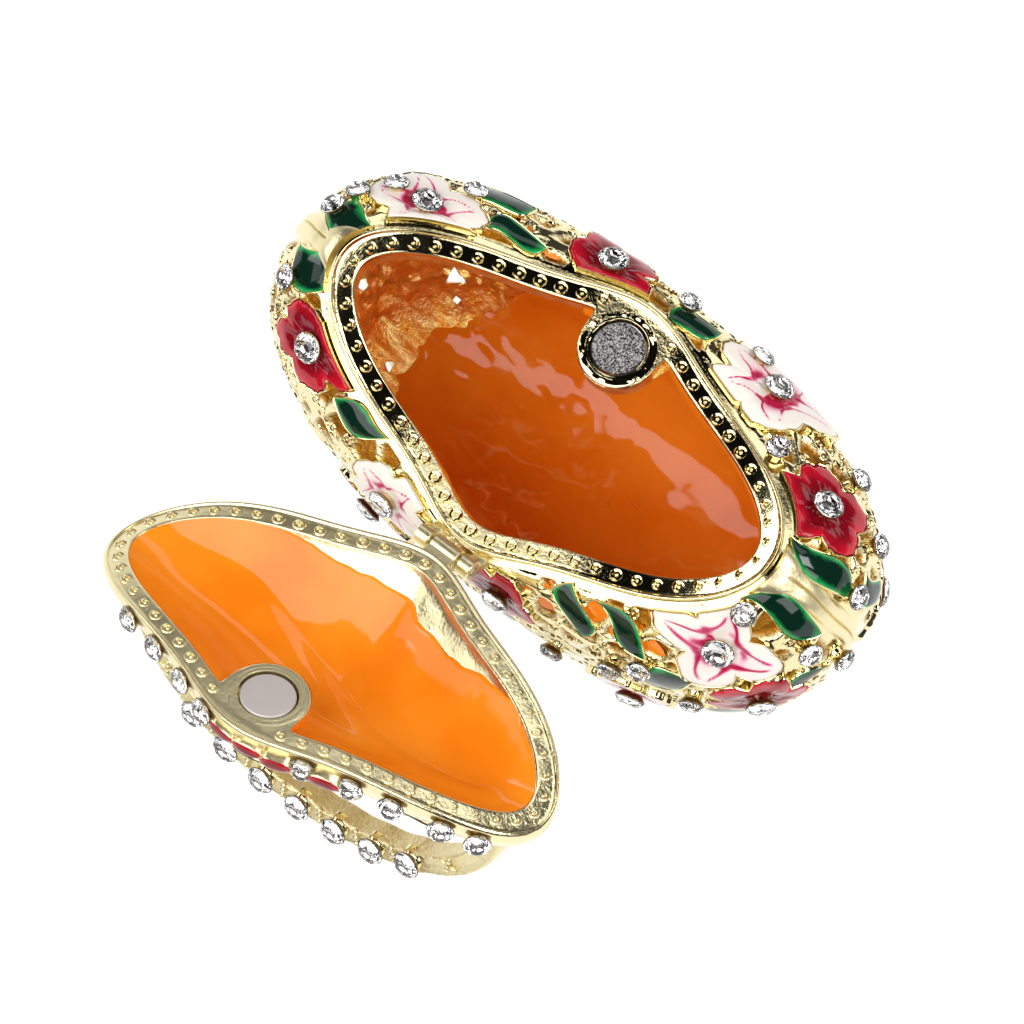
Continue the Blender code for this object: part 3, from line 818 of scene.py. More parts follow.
# %% Inner wall and floor
INNER_SPAN = (0.84, 0.13)          # levels between which the inner wall follows the outer one
FLOOR_OVAL = (28.0, 13.7)
CRUMPLE_HEIGHT = 20.0              # the bare skin is crumpled to and from this height
# How high the enamel reaches, in millimetres, round the box in degrees; below 0 lies on the floor
ENAMEL_EDGE = ((0, 44), (96, 44), (106, 26), (114, 12), (130, 7), (146, 4.6), (169, 3.0), (190, 2.4),
               (205, 2.2), (214, 3.5), (224, 7), (231, 15), (236, 30), (240, 44), (360, 44))


def inner_ring(level):
    return BODY.point(turns, level) - BODY.outward(turns, np.full_like(turns, level)) * WALL


def floor_rings(ring, rows, low):
    """Rings from the foot of the inner wall to the middle of the floor."""
    rings = []
    for share in np.linspace(0, 1, rows + 1)[1:]:
        here = ring * (1 - share, 1 - share, 1)
        here[:, 2] = low + (ring[:, 2] - low) * (1 - share) ** 5
        rings.append(here)
    return rings


def enamel_cover(ring, turn):
    """1 where the lining covers the casting, 0 where the casting is bare."""
    angle = np.degrees(turn) % 360
    edge = np.interp(angle, *zip(*ENAMEL_EDGE))
    edge = edge + bumps(ring, 5.0, seed=11.0) * 1.6 + bumps(ring, 1.8, seed=12.0) * 0.7
    reach = np.hypot(ring[:, 0] / FLOOR_OVAL[0], ring[:, 1] / FLOOR_OVAL[1])
    # Towards the middle of the floor the height goes on falling, so that one edge serves both
    height = ring[:, 2] - 14.0 * (1 - np.minimum(reach, 1))
    return smoothstep(-0.35, 0.45, edge - height)


def toward_middle(ring, height):
    """Directions from points to the middle of the box at a height."""
    away = np.array((0, 0, height)) - ring
    return away / np.linalg.norm(away, axis=1, keepdims=True)


def roughened(ring):
    """The bare cast skin of the inside, crumpled where no enamel covers it."""
    crumple = bumps(ring, 3.0, seed=5.0) * 0.40 + np.abs(bumps(ring, 1.9, seed=6.0)) * 1.6 - 0.42
    push = (crumple + bumps(ring, 0.95, seed=7.0) * 0.40) * (1 - enamel_cover(ring, turns))
    return ring - toward_middle(ring, CRUMPLE_HEIGHT) * (np.clip(push, -0.6, 0.36) - 0.1)[:, None]


inner_wall = [inner_ring(level) for level in np.linspace(*INNER_SPAN, 64)]
inside = [roughened(ring) for ring in inner_wall + floor_rings(inner_wall[-1], 24, FLOOR)]
print("inside of the body:", len(inside), "rings")

# %% [markdown]
# ## The body casting
# All the rings make one closed skin.  Numbers on its points tell the material how deep each lies
# in a pit, where the band is coarse and where the inside is bare.

# %% Body casting
rings = underside + list(wall_rings) + rim_rings(turns, 1, 0.0) + mouth + inside
pits = np.zeros((len(rings), len(turns)))
first = len(underside)
pits[first:first + len(levels)] = wall_pits
# The underside takes a share of the pits' darker colour, which is painted shade, and of their roughness and
# grain
pits[:first] = 0.35
coarse = np.zeros_like(pits)
aside = np.abs(mouth_edge(turns)[:, 0])
rough_rim = np.where(np.sin(turns) < 0, smoothstep(15, 7, aside), smoothstep(7.5, 4.0, aside) * 0.4)
coarse[first + len(levels) + len(LIP):] = rough_rim
bare = np.zeros_like(pits)
bare[-len(mouth + inside):] = 1.0
print("body casting:", len(rings), "rings of", COLUMNS)
body_casting = loft("body_casting_skin", rings, {"pit": pits, "coarse": coarse, "bare": bare})

# %% [markdown]
# ## Openings
# A few cells of the openwork go right through the wall, low on one side.  The boss has a pocket
# that takes the magnet, which is glued in.  The pocket is cut with a round drum, and the openings
# with tapered ones of three to five sides, because they are never quite round.

# %% Openings low in the wall and the pocket for the magnet
# (angle, level, radius)
WINDOWS = ((144, 0.16, 1.15), (148, 0.09, 0.45), (176, 0.24, 0.6), (187, 0.05, 0.75))
MAGNET_RADIUS = 2.85
POCKET_RADIUS = MAGNET_RADIUS + 0.12
POCKET_DEPTH = 2.3


def drum(name, place, out, low, high, radius, sides=48, top=None):
    """A drum standing along a direction; it tapers where its top has a radius of its own."""
    deselect()
    bpy.ops.mesh.primitive_cone_add(vertices=sides, radius1=radius, depth=high - low,
                                    radius2=radius if top is None else top)
    piece = added(name)
    turned = Vector(out).to_track_quat("Z", "Y").to_matrix().to_4x4()
    middle = Vector(place) + Vector(out) * (low + high) / 2
    piece.data.transform(Matrix.Translation(middle) @ turned)
    return piece


def cut_away(piece, cutters):
    """Cut openings from a piece, and remove the cutters."""
    cutter = join(cutters, "cutter") if len(cutters) > 1 else cutters[0]
    change = piece.modifiers.new("openings", "BOOLEAN")
    change.object = cutter
    change.solver = "EXACT"
    deselect()
    bpy.context.view_layer.objects.active = piece
    bpy.ops.object.modifier_apply(modifier=change.name)
    bpy.data.objects.remove(cutter)


def wall_frame(wall, angle, level):
    """Place on a wall, and its outward direction."""
    turn = math.radians(angle)
    zero = np.zeros(1)
    out = wall.outward(np.array([turn]), np.array([level]))[0]
    return wall.spot(turn, level, zero, zero, zero)[0], out


UPWARD = np.array((0.0, 0.0, 1.0))
magnet_seat = np.array((0.0, BOSS_Y, RIM_HEIGHT - BAND_DROP))


def window_cutters():
    """Openings drawn nearly straight down, the way the core of the mould pulls."""
    made = []
    for angle, level, radius in WINDOWS:
        place, out = wall_frame(BODY, angle, level)
        pull = np.array((out[0] * 0.45, out[1] * 0.45, -1.0))
        pull /= np.linalg.norm(pull)
        made.append(drum("window", place - out * WALL, pull, -2.0, 6.0, radius, 3 + len(made) % 3,
                         radius * 1.3))
    return made


pocket = drum("pocket", magnet_seat, UPWARD, -POCKET_DEPTH, 1.0, POCKET_RADIUS, 64)
cut_away(body_casting, [pocket] + window_cutters())
settle(body_casting, "box", champagne_gold, 50, ["body_casting"])
print("openings:", len(WINDOWS), "and a pocket; faces:", len(body_casting.data.polygons))

# %% [markdown]
# ## Beads on the rims
# The band of each rim carries a row of small rings with a dot in each, struck into the master
# that the mould is made from.  One is modelled as a torus and a ball, and copied along the band.

# %% Rim beads
BEAD_PITCH = 2.2
BEAD_INSET = 1.42
BEAD_RADIUS = 0.53


def bead_model():
    deselect()
    bpy.ops.mesh.primitive_torus_add(major_segments=12, minor_segments=5, major_radius=BEAD_RADIUS,
                                     minor_radius=0.15)
    ring = added("bead_ring")
    deselect()
    bpy.ops.mesh.primitive_uv_sphere_add(segments=8, ring_count=5, radius=0.2)
    dot = added("bead_dot")
    return join([ring, dot], "bead")


def copies(model, matrices, name):
    """One object made of copies of a model, each at its own matrix; the model is removed."""
    made = []
    for matrix in matrices:
        piece = bpy.data.objects.new(name, model.data.copy())
        scene.collection.objects.link(piece)
        piece.data.transform(matrix)
        made.append(piece)
    bpy.data.objects.remove(model)
    return join(made, name)


def along_rim(pitch, inset):
    """Turns spaced evenly by length round the rim."""
    fine = np.linspace(0, math.tau, 3001)
    line = rim_point(fine, inset)
    travelled = lengths(line)
    count = int(round(travelled[-1] / pitch))
    return np.interp(np.arange(count) / count * travelled[-1], travelled, fine)


def rim_beads(name, up, start):
    rng = random.Random(4)
    matrices = []
    for turn in along_rim(BEAD_PITCH, BEAD_INSET):
        place = rim_point(np.array([turn]), BEAD_INSET, start - up * BAND_DROP)[0]
        if abs(place[0]) < MAGNET_RADIUS + 0.6 and place[1] > 0:
            continue
        size = rng.uniform(0.9, 1.08)
        squash = Matrix.Diagonal((size, size, 1.0, 1))
        matrices.append(Matrix.Translation(Vector(place)) @ squash)
    print(name, len(matrices))
    return copies(bead_model(), matrices, name)


settle(rim_beads("body_rim_beads", 1, 0.0), "box", polished_gold, 60)

# %% [markdown]
# ## The orange lining
# The inside is flooded with orange enamel, which ran down the wall in soft ripples and stopped
# short of one end, where the rough casting shows.  It is a thin closed skin.  Where the metal
# is bare the skin dips below it, so the enamel's edge comes out as uneven as a poured one.

# %% Lining of the body
LINING = 0.3
THINNEST = 0.12
SUNK = 0.62                        # how far the skin dips where the metal is bare
POUR_HEIGHT = 24                   # the enamel stands off towards this height


def poured(ring, turn):
    """How far the enamel stands off the casting."""
    left = smoothstep(6, -10, ring[:, 0])
    waves = bumps(ring, 6.5, seed=21.0) * 0.24 + bumps(ring, 3.4, seed=23.0) * 0.17 * (1 - 0.4 * left)
    wrinkles = np.abs(bumps(ring, 2.4, seed=22.0)) * 0.22 * left
    cover = enamel_cover(ring, turn)
    return np.maximum(LINING + THINNEST + waves + wrinkles, THINNEST) * cover - SUNK * (1 - cover)


def closed_skin(name, face, back, kept):
    """A thin closed skin; its hidden back has its first rings and every other one of the rest."""
    hidden = back[:kept] + back[kept:-1:2] + back[-1:]
    return loft(name, face + hidden[::-1] + face[:1])


plain_inside = [rim_point(turns, RIM_BAND + inset, -below) for inset, below in
                ((-0.45, 0.6), (-0.35, 1.1), (-0.2, 1.7), (-0.1, 2.3))]
plain_inside += [inner_ring(level) for level in np.linspace(*INNER_SPAN, 62)]
plain_inside += floor_rings(plain_inside[-1], 40, FLOOR)
depths = np.interp(np.arange(len(plain_inside)), (0, 4, 8), (0.2, 0.3, 0.72))
face = []
back = []
for ring, depth in zip(plain_inside, depths):
    inward = toward_middle(ring, POUR_HEIGHT)
    off = np.maximum(poured(ring, turns), 0.1 - depth)
    face.append(ring + inward * off[:, None])
    back.append(ring - inward * depth)
body_lining = closed_skin("body_enamel_lining", face, back, 9)
cut_away(body_lining, window_cutters())
settle(body_lining, "box", orange_enamel, 80)
print("body lining:", len(face), "rings, faces:", len(body_lining.data.polygons))

# %% [markdown]
# ## Round pieces
# Cups, bosses, the pin, the knuckles and the magnet are all round, so each is a profile turned
# about a direction, as on a lathe.

# %% Turning a profile
def stand(place, out, spin=0.0):
    """Matrix that stands a shape's Z axis along a direction at a place."""
    aim = Vector(out).to_track_quat("Z", "Y").to_matrix().to_4x4()
    return Matrix.Translation(Vector(place)) @ aim @ Matrix.Rotation(spin, 4, "Z")


def lathe(name, profile, sides=32):
    """A round piece about Z, from a profile of (radius, height) points."""
    table = np.array(profile)

    def where(across, up):
        radius, height = table[row_at(up, len(table))].T
        angle = math.tau * across
        return np.stack((radius * np.cos(angle), radius * np.sin(angle), height), axis=-1)

    return sheet(name, sides, len(table) - 1, where)


def lathe_at(name, profile, place, out, sides=48):
    piece = lathe(name, profile, sides)
    piece.data.transform(stand(place, out))
    return piece


# %% [markdown]
# ## Magnet and disc
# Each boss ends in a rounded setting.  The body's holds a small round magnet and the lid's a disc
# of steel, both pressed in from the rim's side and glued.

# %% Magnet, disc and their settings
SEAT_DEPTH = 3.4
SEAT_FLOOR = -SEAT_DEPTH + 1.1
SEAT = ((0, -SEAT_DEPTH), (2.6, -SEAT_DEPTH), (3.5, -SEAT_DEPTH + 0.3), (4.1, -0.75), (4.16, -0.45),
        (4.1, -0.25), (3.96, -0.15), (3.84, -0.13), (3.72, -0.12), (3.6, -0.12), (3.48, -0.12),
        (3.3, -0.14), (3.16, -0.10), (3.08, -0.12), (3.04, -0.3), (3.02, SEAT_FLOOR), (0, SEAT_FLOOR))
MAGNET_FACE = ((0, -2.0), (2.6, -2.0), (2.78, -1.9), (2.78, -0.50), (2.66, -0.30), (2.58, -0.30),
               (2.52, -0.34), (1.4, -0.33), (0.7, -0.33), (0, -0.33))
DISC_FACE = ((0, -1.4), (2.6, -1.4), (2.74, -1.3), (2.74, -0.42), (2.62, -0.28), (2.2, -0.26), (1.2, -0.25),
             (0, -0.25))
DOWNWARD = -UPWARD
rim_seat = np.array((0.0, BOSS_Y, RIM_HEIGHT))
lid_seat = np.array((0.0, BOSS_Y, RIM_HEIGHT + GAP))
sunk = np.array((0, 0, -0.12))
seat = lathe_at("body_magnet_seat", SEAT, rim_seat + sunk, UPWARD, 120)
places = points_of(seat)
wide = np.hypot(places[:, 0], places[:, 1] - BOSS_Y)
flecks = np.maximum(bumps(places, 0.7, seed=14.0) - 0.12, 0) * ((wide > 3.4) & (wide < 3.9))
move_points(seat, places + flecks[:, None] * (0, 0, 0.35))
settle(seat, "box", polished_gold, 60)
settle(lathe_at("magnet", MAGNET_FACE, rim_seat, UPWARD, 64), "box", magnet_face, 30,
       ["body_magnet"])
# The plating survives as a bright ring where the magnet's edge is chamfered
EDGE = ((2.60, -0.5), (2.60, -0.36), (2.66, -0.26), (2.74, -0.25), (2.83, -0.34), (2.83, -0.5),
        (2.60, -0.5))
settle(lathe_at("magnet_plating", EDGE, rim_seat, UPWARD, 64), "box", silver_foil, 30)
settle(lathe_at("lid_disc_seat", SEAT, lid_seat - sunk, DOWNWARD, 96), "lid",
       satin_gold, 60)
settle(lathe_at("catch_disc", DISC_FACE, lid_seat, DOWNWARD, 64), "lid", satin_steel, 30,
       ["lid_catch_disc"])

# %% [markdown]
# ## Bubbles
# Two bubbles burst in the resin as it cured, and each left a small crater with a soft edge.

# %% Burst bubbles in the enamel of the floor
BUBBLES = ((1.3, 0.4), (3.7, 2.0))
CRATER = ((0, -0.2), (0.10, -0.10), (0.16, 0.02), (0.24, 0.07), (0.34, 0.03), (0.42, -0.06),
          (0.42, -0.2), (0, -0.2))
craters = []
for x, y in BUBBLES:
    base = np.array([(x, y, FLOOR)])
    surface = base[0] + UPWARD * poured(base, np.zeros(1))[0]
    craters.append(lathe_at("crater", CRATER, surface, UPWARD, 20))
settle(join(craters, "enamel_bubbles"), "box", orange_enamel, 60)
print("bubbles:", len(BUBBLES))

# %% [markdown]
# ## The lid casting
# The lid's rim mirrors the body's with a small gap between them when shut.  Above it a short
# side turns into a low dome with the same openwork.

# %% Lid casting
DOME_ROWS = 69
lid_turns = even_turns(np.linspace(0, 1, COLUMNS + 1))


def lid_open_share(turn, level):
    return smoothstep(0.10, 0.25, level) * (1 - smoothstep(0.93, 0.98, level))


lid_levels = np.linspace(0, 1, DOME_ROWS + 1)
dome, dome_pits = netted(LID, lid_turns, lid_levels, LID_NET_DEPTH, lid_open_share)
side = [rim_point(lid_turns, inset, GAP + lift) for inset, lift in
        ((0.95, 3.25), (0.7, 2.8), (0.45, 2.35), (0.26, 1.9), (0.12, 1.5), (0.0, 1.1))]
lid_rim = rim_rings(lid_turns, -1, GAP)
print("outside of the lid:", len(dome) + len(side) + len(lid_rim), "rings")

# %% [markdown]
# ## The inside of the lid, and its casting
# Inside, the lid is a smooth bowl that starts from the rim's inner edge, round the boss too.  The
# dome and the bowl shine more than the rest, because a wheel reaches them.

# %% Inside of the lid, and its casting
def lid_bowl(reach, below):
    """Inside of the lid: reach is 1 at the rim's inner edge and 0 at the middle."""
    near = smoothstep(0.78, 0.98, np.full(len(lid_turns), reach))
    plain = rim_point(lid_turns, RIM_BAND)[:, :2]
    edge = mix(plain, inner_edge(lid_turns), near)
    place = (0, MOUTH_CENTRE_Y) + (edge - (0, MOUTH_CENTRE_Y)) * reach
    low = rim_level(edge[:, 0]) + GAP + 0.35
    high = RIM_HEIGHT + GAP + CROWN_HEIGHT - LID_WALL - 0.2
    height = low + (high - low) * (1 - reach ** 2.1) + below
    return np.concatenate((place, height[:, None]), axis=-1)


reaches = np.concatenate((np.linspace(1, 0.8, 14), np.linspace(0.78, 0, 34)))
lid_inside = [lid_bowl(reach, 0.30) for reach in reaches[2:]]
for ring in lid_inside:
    cast = bumps(ring, 2.8, seed=61.0) * 0.15 + bumps(ring, 1.4, seed=62.0) * 0.08
    ring[:, 2] += np.maximum(cast, -0.2)
rings = list(dome) + side + lid_rim + lid_inside
pits = np.zeros((len(rings), len(lid_turns)))
pits[:len(dome)] = dome_pits
print("lid casting:", len(rings), "rings")
polish = np.zeros_like(pits)
polish[-len(lid_inside):] = 0.8
polish[:len(dome)] = 0.7
polish[len(dome):-len(lid_inside)] = smoothstep(6, 22, mouth_edge(lid_turns)[:, 0]) * 0.9
lid_casting = loft("lid_casting_skin", rings, {"pit": pits, "polish": polish})
cut_away(lid_casting, [drum("pocket", lid_seat, UPWARD, -1.0, POCKET_DEPTH, POCKET_RADIUS, 64)])
settle(lid_casting, "lid", satin_gold, 50, ["lid_casting"])
settle(rim_beads("lid_rim_beads", -1, GAP), "lid", satin_gold, 60)

# %% [markdown]
# ## The lining of the lid
# The lid's enamel is thinner and smoother, with one long ridge where it set as it was tilted.  It
# stops short of the rim along the hinge side.

# %% Lining of the lid
LID_SUNK = 0.75


def lid_bare(turn, x):
    """How far in from the rim, in millimetres, the lid stays bare: most along the hinge side."""
    return 2.5 * np.exp(-((x - 3) / 11.5) ** 2) * (np.sin(turn) < 0) - 0.6


def lid_pour(ring, turn, reach):
    """How far the lid's enamel stands off its bowl: soft waves, and a long bent ridge."""
    bend = -1.0 + 2.6 * np.sin(ring[:, 0] / 8.0)
    off = ring[:, 1] - bend
    ridge = 0.55 * np.exp(-(off / 1.7) ** 2) - 0.35 * np.exp(-((off + 3.2) / 1.6) ** 2)
    waves = bumps(ring, 9.0, seed=31.0) * 0.35 + ridge
    far = np.hypot(*(ring[:, :2] - inner_edge(turn)).T)
    soft = float(smoothstep(0.97, 0.66, reach))
    rest = np.maximum(waves * soft, -0.1)
    edge = far + bumps(ring, 4.0, seed=32.0) * 0.6 + bumps(ring, 1.6, seed=33.0) * 0.2
    cover = smoothstep(-0.15, 0.45, edge - lid_bare(turn, ring[:, 0]))
    return rest * cover - LID_SUNK * (1 - cover)


front = []
back = []
for reach in reaches:
    ring = lid_bowl(reach, 0.0)
    ring[:, 2] -= lid_pour(ring, lid_turns, reach)
    front.append(ring)
    back.append(lid_bowl(reach, 1.0))
lid_lining = closed_skin("lid_enamel_lining", front, back, 3)
settle(lid_lining, "lid", orange_enamel, 80)
print("lid lining:", len(front), "rings, faces:", len(lid_lining.data.polygons))

# %% [markdown]
# ## Flowers
# Each flower is a cell of the casting, of four or five petals, flooded with enamel.  The tables say
# where each one stands.  The lower flowers repeat evenly; the upper ones are placed one by one.

# %% Tables and outline of the flowers
# (angle, level, petals, radius, spin, finish)
UPPER_FLOWERS = (
    (144, 0.90, 5, 6.4, 10, "white"), (100, 0.86, 5, 5.4, 40, "red"), (66, 0.77, 5, 6.9, 36, "white"),
    (30, 0.86, 5, 5.6, 25, "red"), (327, 0.81, 4, 6.6, 5, "white"), (276, 0.62, 5, 5.2, 15, "red"),
    (257, 0.68, 5, 6.2, 50, "white"), (218, 0.88, 5, 5.4, 0, "red"), (331, 0.48, 5, 5.4, 30, "red"),
)
LOWER_FLOWERS = tuple((angle, 0.27, 5, 5.4, angle, "red" if index % 2 else "white")
                      for index, angle in enumerate((22, 68, 112, 158, 206, 248, 300)))
LID_FLOWERS = (
    (90, 0.66, 5, 5.8, 0, "red"), (270, 0.62, 5, 5.6, 20, "white"), (36, 0.66, 4, 4.8, 40, "white"),
    (144, 0.66, 5, 4.8, 0, "white"), (216, 0.66, 4, 4.8, 10, "red"), (324, 0.66, 5, 4.8, 30, "red"),
)


def petal_part(petals, angle):
    """How far an angle lies across its petal, from 0 to 1."""
    return (angle * petals / math.tau) % 1


def petal_reach(petals, angle):
    """How far the outline reaches, as a share of the radius; notches lie between the petals."""
    across = np.abs(2 * petal_part(petals, angle) - 1)
    if petals == 4:
        return 0.53 + 0.49 * (1 - across ** 1.5)
    return 0.66 + 0.32 * (1 - across ** 2.4) + 0.015 * np.cos(6 * math.pi * across)


def on_wall(wall, spec, u, v, height):
    """Points of a flower or leaf on its wall, from local millimetres."""
    spin = math.radians(spec[4])
    c = math.cos(spin)
    s = math.sin(spin)
    return wall.spot(math.radians(spec[0]), spec[1], u * c - v * s, u * s + v * c, height)


# %% [markdown]
# ## Streaks of magenta
# White flowers carry a star of magenta, drawn through the wet enamel: an arm down each petal and
# a stain round the stone.  It is a number on the mesh, so it follows each flower's own petals.

# %% Star of streaks
def star_streak(petals, rho, angle, seed):
    """A hollow star of streaks round the stone, with an arm down each petal."""
    drift = np.array([noise.noise(Vector((r * 3 * math.cos(a), r * 3 * math.sin(a), seed)))
                      for r, a in zip(rho, angle)])
    across = np.abs(2 * petal_part(petals, angle + drift * 0.12) - 1)
    star = 0.34 + 0.54 * (1 - across) ** 2.1
    wide = (0.07 if petals == 4 else 0.045) + 0.03 * smoothstep(0.55, 0.3, rho)
    line = np.exp(-((rho - star + drift * 0.03) / wide) ** 2)
    heart = 0.7 * smoothstep(0.48, 0.30, rho) * smoothstep(-0.1, 0.25, drift)
    within = smoothstep(0.0, 0.05, star - rho) * (0.44 - 0.32 * rho + 0.34 * drift + heart)
    tip = 1 - smoothstep(0.74, 0.92, rho)
    return np.maximum(line * (0.88 + 0.30 * drift), within) * tip


# %% [markdown]
# ## Enamel and its border
# Poured enamel domes a little in its cell, sinks to the middle where the stone stands, and creases
# between the petals.  So it is a closed cushion.  Its border is a thin wall with a rounded crest,
# swept along the outline.

# %% Cushion and border
def pillow(name, wall, spec, outline, spine, height_of, marks_of, columns, rows):
    """A closed cushion of enamel from its spine out to its outline, with a flat hidden back.

    The face takes the first four fifths of its rows.
    """
    def where(across, up):
        angle = math.tau * across
        edge = outline(angle)
        start = spine(angle)
        below = up > 0.81
        share = np.where(below, (1 - up) / 0.19, np.minimum(up * 1.25, 1.0))
        u = start[0] + (edge[0] - start[0]) * share
        v = start[1] + (edge[1] - start[1]) * share
        height = np.where(below, -0.55, height_of(share, angle))
        return on_wall(wall, spec, u, v, height)

    def marks(across, up):
        return marks_of(np.minimum(up * 1.25, 1.0), math.tau * across)

    return sheet(name, columns, rows, where, marks)


def border(name, wall, spec, outline, columns, top=0.86, thick=0.17):
    """A thin raised wall that follows an outline."""
    section = np.array((
        (-thick, -0.7), (-thick, top - 0.16), (-thick * 0.7, top - 0.03), (-thick * 0.35, top),
        (0, top - 0.08), (thick * 0.1, top - 0.3), (thick * 0.4, -0.3), (thick * 0.6, -0.8),
        (-thick, -0.7)))

    def where(across, up):
        aside, height = section[row_at(up, len(section))].T
        angle = math.tau * across
        u, v = outline(angle)
        step = 0.02
        before = outline(angle - step)
        after = outline(angle + step)
        along = np.stack((after[0] - before[0], after[1] - before[1]))
        along /= np.linalg.norm(along, axis=0) + 1e-9
        return on_wall(wall, spec, u + along[1] * aside, v - along[0] * aside, height)

    return sheet(name, columns, len(section) - 1, where)


# %% [markdown]
# ## Making the flowers
# No two petals are quite alike on the real box.  Each flower has sizes of its own and a ragged
# edge, from a random source with a fixed seed.

# %% One flower, and all of them
BORDER_ROOM = 0.45                 # kept for the border where a flower is cut off by the rim


def flower(name, wall, spec, seed):
    """The enamel and the border of one flower."""
    petals, radius = spec[2:4]
    wobble = random.Random(seed)
    sizes = [wobble.uniform(0.93, 1.03) for _ in range(petals)]
    ragged = wobble.uniform(0, 6)
    room = wall.room(math.radians(spec[0]), spec[1]) - BORDER_ROOM
    up = (math.sin(math.radians(spec[4])), math.cos(math.radians(spec[4])))

    def outline(angle):
        which = ((angle * petals / math.tau) % petals).astype(int) % petals
        size = 1 + (np.array(sizes)[which] - 1) * np.sin(math.pi * petal_part(petals, angle))
        reach = radius * petal_reach(petals, angle) * size
        reach += 0.10 * np.sin(angle * 11 + ragged) + 0.07 * np.sin(angle * 17 + 2 * ragged)
        u = reach * np.cos(angle)
        v = reach * np.sin(angle)
        over = np.maximum(u * up[0] + v * up[1] - room, 0)
        return u - over * up[0], v - over * up[1]

    def spine(angle):
        return np.zeros_like(angle), np.zeros_like(angle)

    def height_of(share, angle):
        notch = np.sin(math.pi * petal_part(petals, angle)) * share / 0.20
        between = np.exp(-notch ** 2) * smoothstep(0.15, 0.4, share)
        rise = 0.52 + 0.38 * smoothstep(0.25, 0.70, share)
        lip = 0.16 * smoothstep(0.88, 1.0, share) ** 2
        collar = 0.18 * np.exp(-((share * radius - 1.75) / 0.35) ** 2)
        return rise - lip - 0.13 * between * (1 - 0.6 * share) + collar

    def marks_of(share, angle):
        edge = petal_reach(petals, angle)
        if spec[5] == "white":
            return {"streak": star_streak(petals, share * edge, angle, seed * 1.7)}
        return {"bloom": smoothstep(0.3, 1.0, share)}

    def inner(angle):
        return tuple(axis * 0.965 for axis in outline(angle))

    fill = pillow(name, wall, spec, inner, spine, height_of, marks_of, 120, 28)
    return fill, border(name + "_border", wall, spec, outline, 100)


def flowers(prefix, wall, specs, body):
    """All flowers of one half of the box: their enamel in pieces by colour, and their borders."""
    fills = {"red": [], "white": []}
    borders = []
    for seed, spec in enumerate(specs, 3):
        fill, edge = flower(prefix + "_flower", wall, spec, seed)
        fills[spec[5]].append(fill)
        borders.append(edge)
    finishes = {"red": red_enamel, "white": white_enamel}
    for name, pieces in fills.items():
        print(prefix, name, "flowers", len(pieces))
        settle(join(pieces, f"{prefix}_{name}_flowers"), body, finishes[name], 80)
    settle(join(borders, prefix + "_flower_borders"), body, polished_gold, 60)


BODY_FLOWERS = UPPER_FLOWERS + LOWER_FLOWERS
flowers("body", BODY, BODY_FLOWERS, "box")
flowers("lid", LID, LID_FLOWERS, "lid")

# %% [markdown]
# ## Leaves
# A leaf is a bent, pointed cell.  Its green is thin enough at the edges for the gold to shine
# through, and dark where it is deep.

# %% Leaves
# (angle, level, length, width, turn)
UPPER_LEAVES = (
    (169, 0.91, 6.6, 4.2, 120), (192, 0.91, 6.6, 4.2, 240), (123, 0.74, 7.5, 3.6, 20),
    (121, 0.92, 7.0, 3.0, 5), (83, 0.90, 5.5, 3.4, 60), (238, 0.92, 6.0, 3.8, 30),
    (293, 0.83, 6.5, 3.2, 80), (302, 0.81, 6.5, 3.2, 120), (309, 0.53, 7.5, 4.0, 30),
    (349, 0.84, 9.8, 2.8, 112), (11.5, 0.84, 10.0, 2.9, 70), (343, 0.50, 6.5, 2.8, 10),
    (14, 0.57, 6.5, 2.8, 80),
)
LOWER_LEAVES = tuple(
    (angle, 0.36, 7.0, 3.6, turn)
    for angle, turn in ((44, 60), (90, 110), (136, 70), (182, 120), (228, 60), (274, 110), (322, 70))
)
LID_LEAVES = (
    (62, 0.72, 6.0, 3.0, 100), (118, 0.72, 6.0, 3.0, 80), (242, 0.70, 6.0, 3.0, 100),
    (298, 0.70, 6.0, 3.0, 80),
)


def leaf(name, wall, spec, bend):
    """The enamel and the border of one leaf; bend is how far its middle lies off the straight."""
    length, width = spec[2:4]
    local = (spec[0], spec[1], None, None, spec[4])

    def curve(along):
        return bend * (0.6 * np.sin(math.tau * along) + 0.8 - 3.2 * along ** 2)

    def half_width(along):
        return width / 2 * np.cos(math.pi * np.clip(along, -0.5, 0.5)) ** 0.95 * (1.18 - 0.5 * along)

    def outline(angle):
        along = 0.5 * np.cos(angle)
        return along * length, curve(along) + np.sign(np.sin(angle)) * half_width(along)

    def fill(across, up):
        along = -0.488 * np.cos(math.pi * up)
        section = math.tau * across
        side = np.cos(section)
        top = np.sin(section)
        u = along * length
        v = curve(along) + side * half_width(along) * 0.94
        high = 0.36 + 0.30 * np.abs(top) ** 0.8 * np.sin(math.pi * up) ** 0.5
        return on_wall(wall, local, u, v, np.where(top > -0.01, high, -0.4 * np.abs(top)))

    def marks(across, up):
        side = np.abs(np.cos(math.tau * across))
        tips = np.abs(np.cos(math.pi * up)) ** 4
        return {"bloom": np.clip(side ** 4 + tips * 0.7, 0, 1)}

    green = sheet(name, 28, 36, fill, marks)
    return green, border(name + "_border", wall, local, outline, 56, top=0.58, thick=0.2)


def settle_cells(made, names, body, enamel, plate):
    """Join cells of one kind into two pieces: their enamel and their borders."""
    fills, edges = zip(*made)
    settle(join(fills, names[0]), body, enamel, 80)
    settle(join(edges, names[1]), body, plate, 60)
    print(names[0], len(made))


def leaves(prefix, wall, specs, body):
    rng = random.Random(8)
    made = [leaf(prefix + "_leaf", wall, spec, rng.choice((-1, 1)) * rng.uniform(0.7, 1.1))
            for spec in specs]
    settle_cells(made, (prefix + "_leaves", prefix + "_leaf_borders"), body, green_enamel,
                 polished_gold)


BODY_LEAVES = UPPER_LEAVES + LOWER_LEAVES
leaves("body", BODY, BODY_LEAVES, "box")
leaves("lid", LID, LID_LEAVES, "lid")

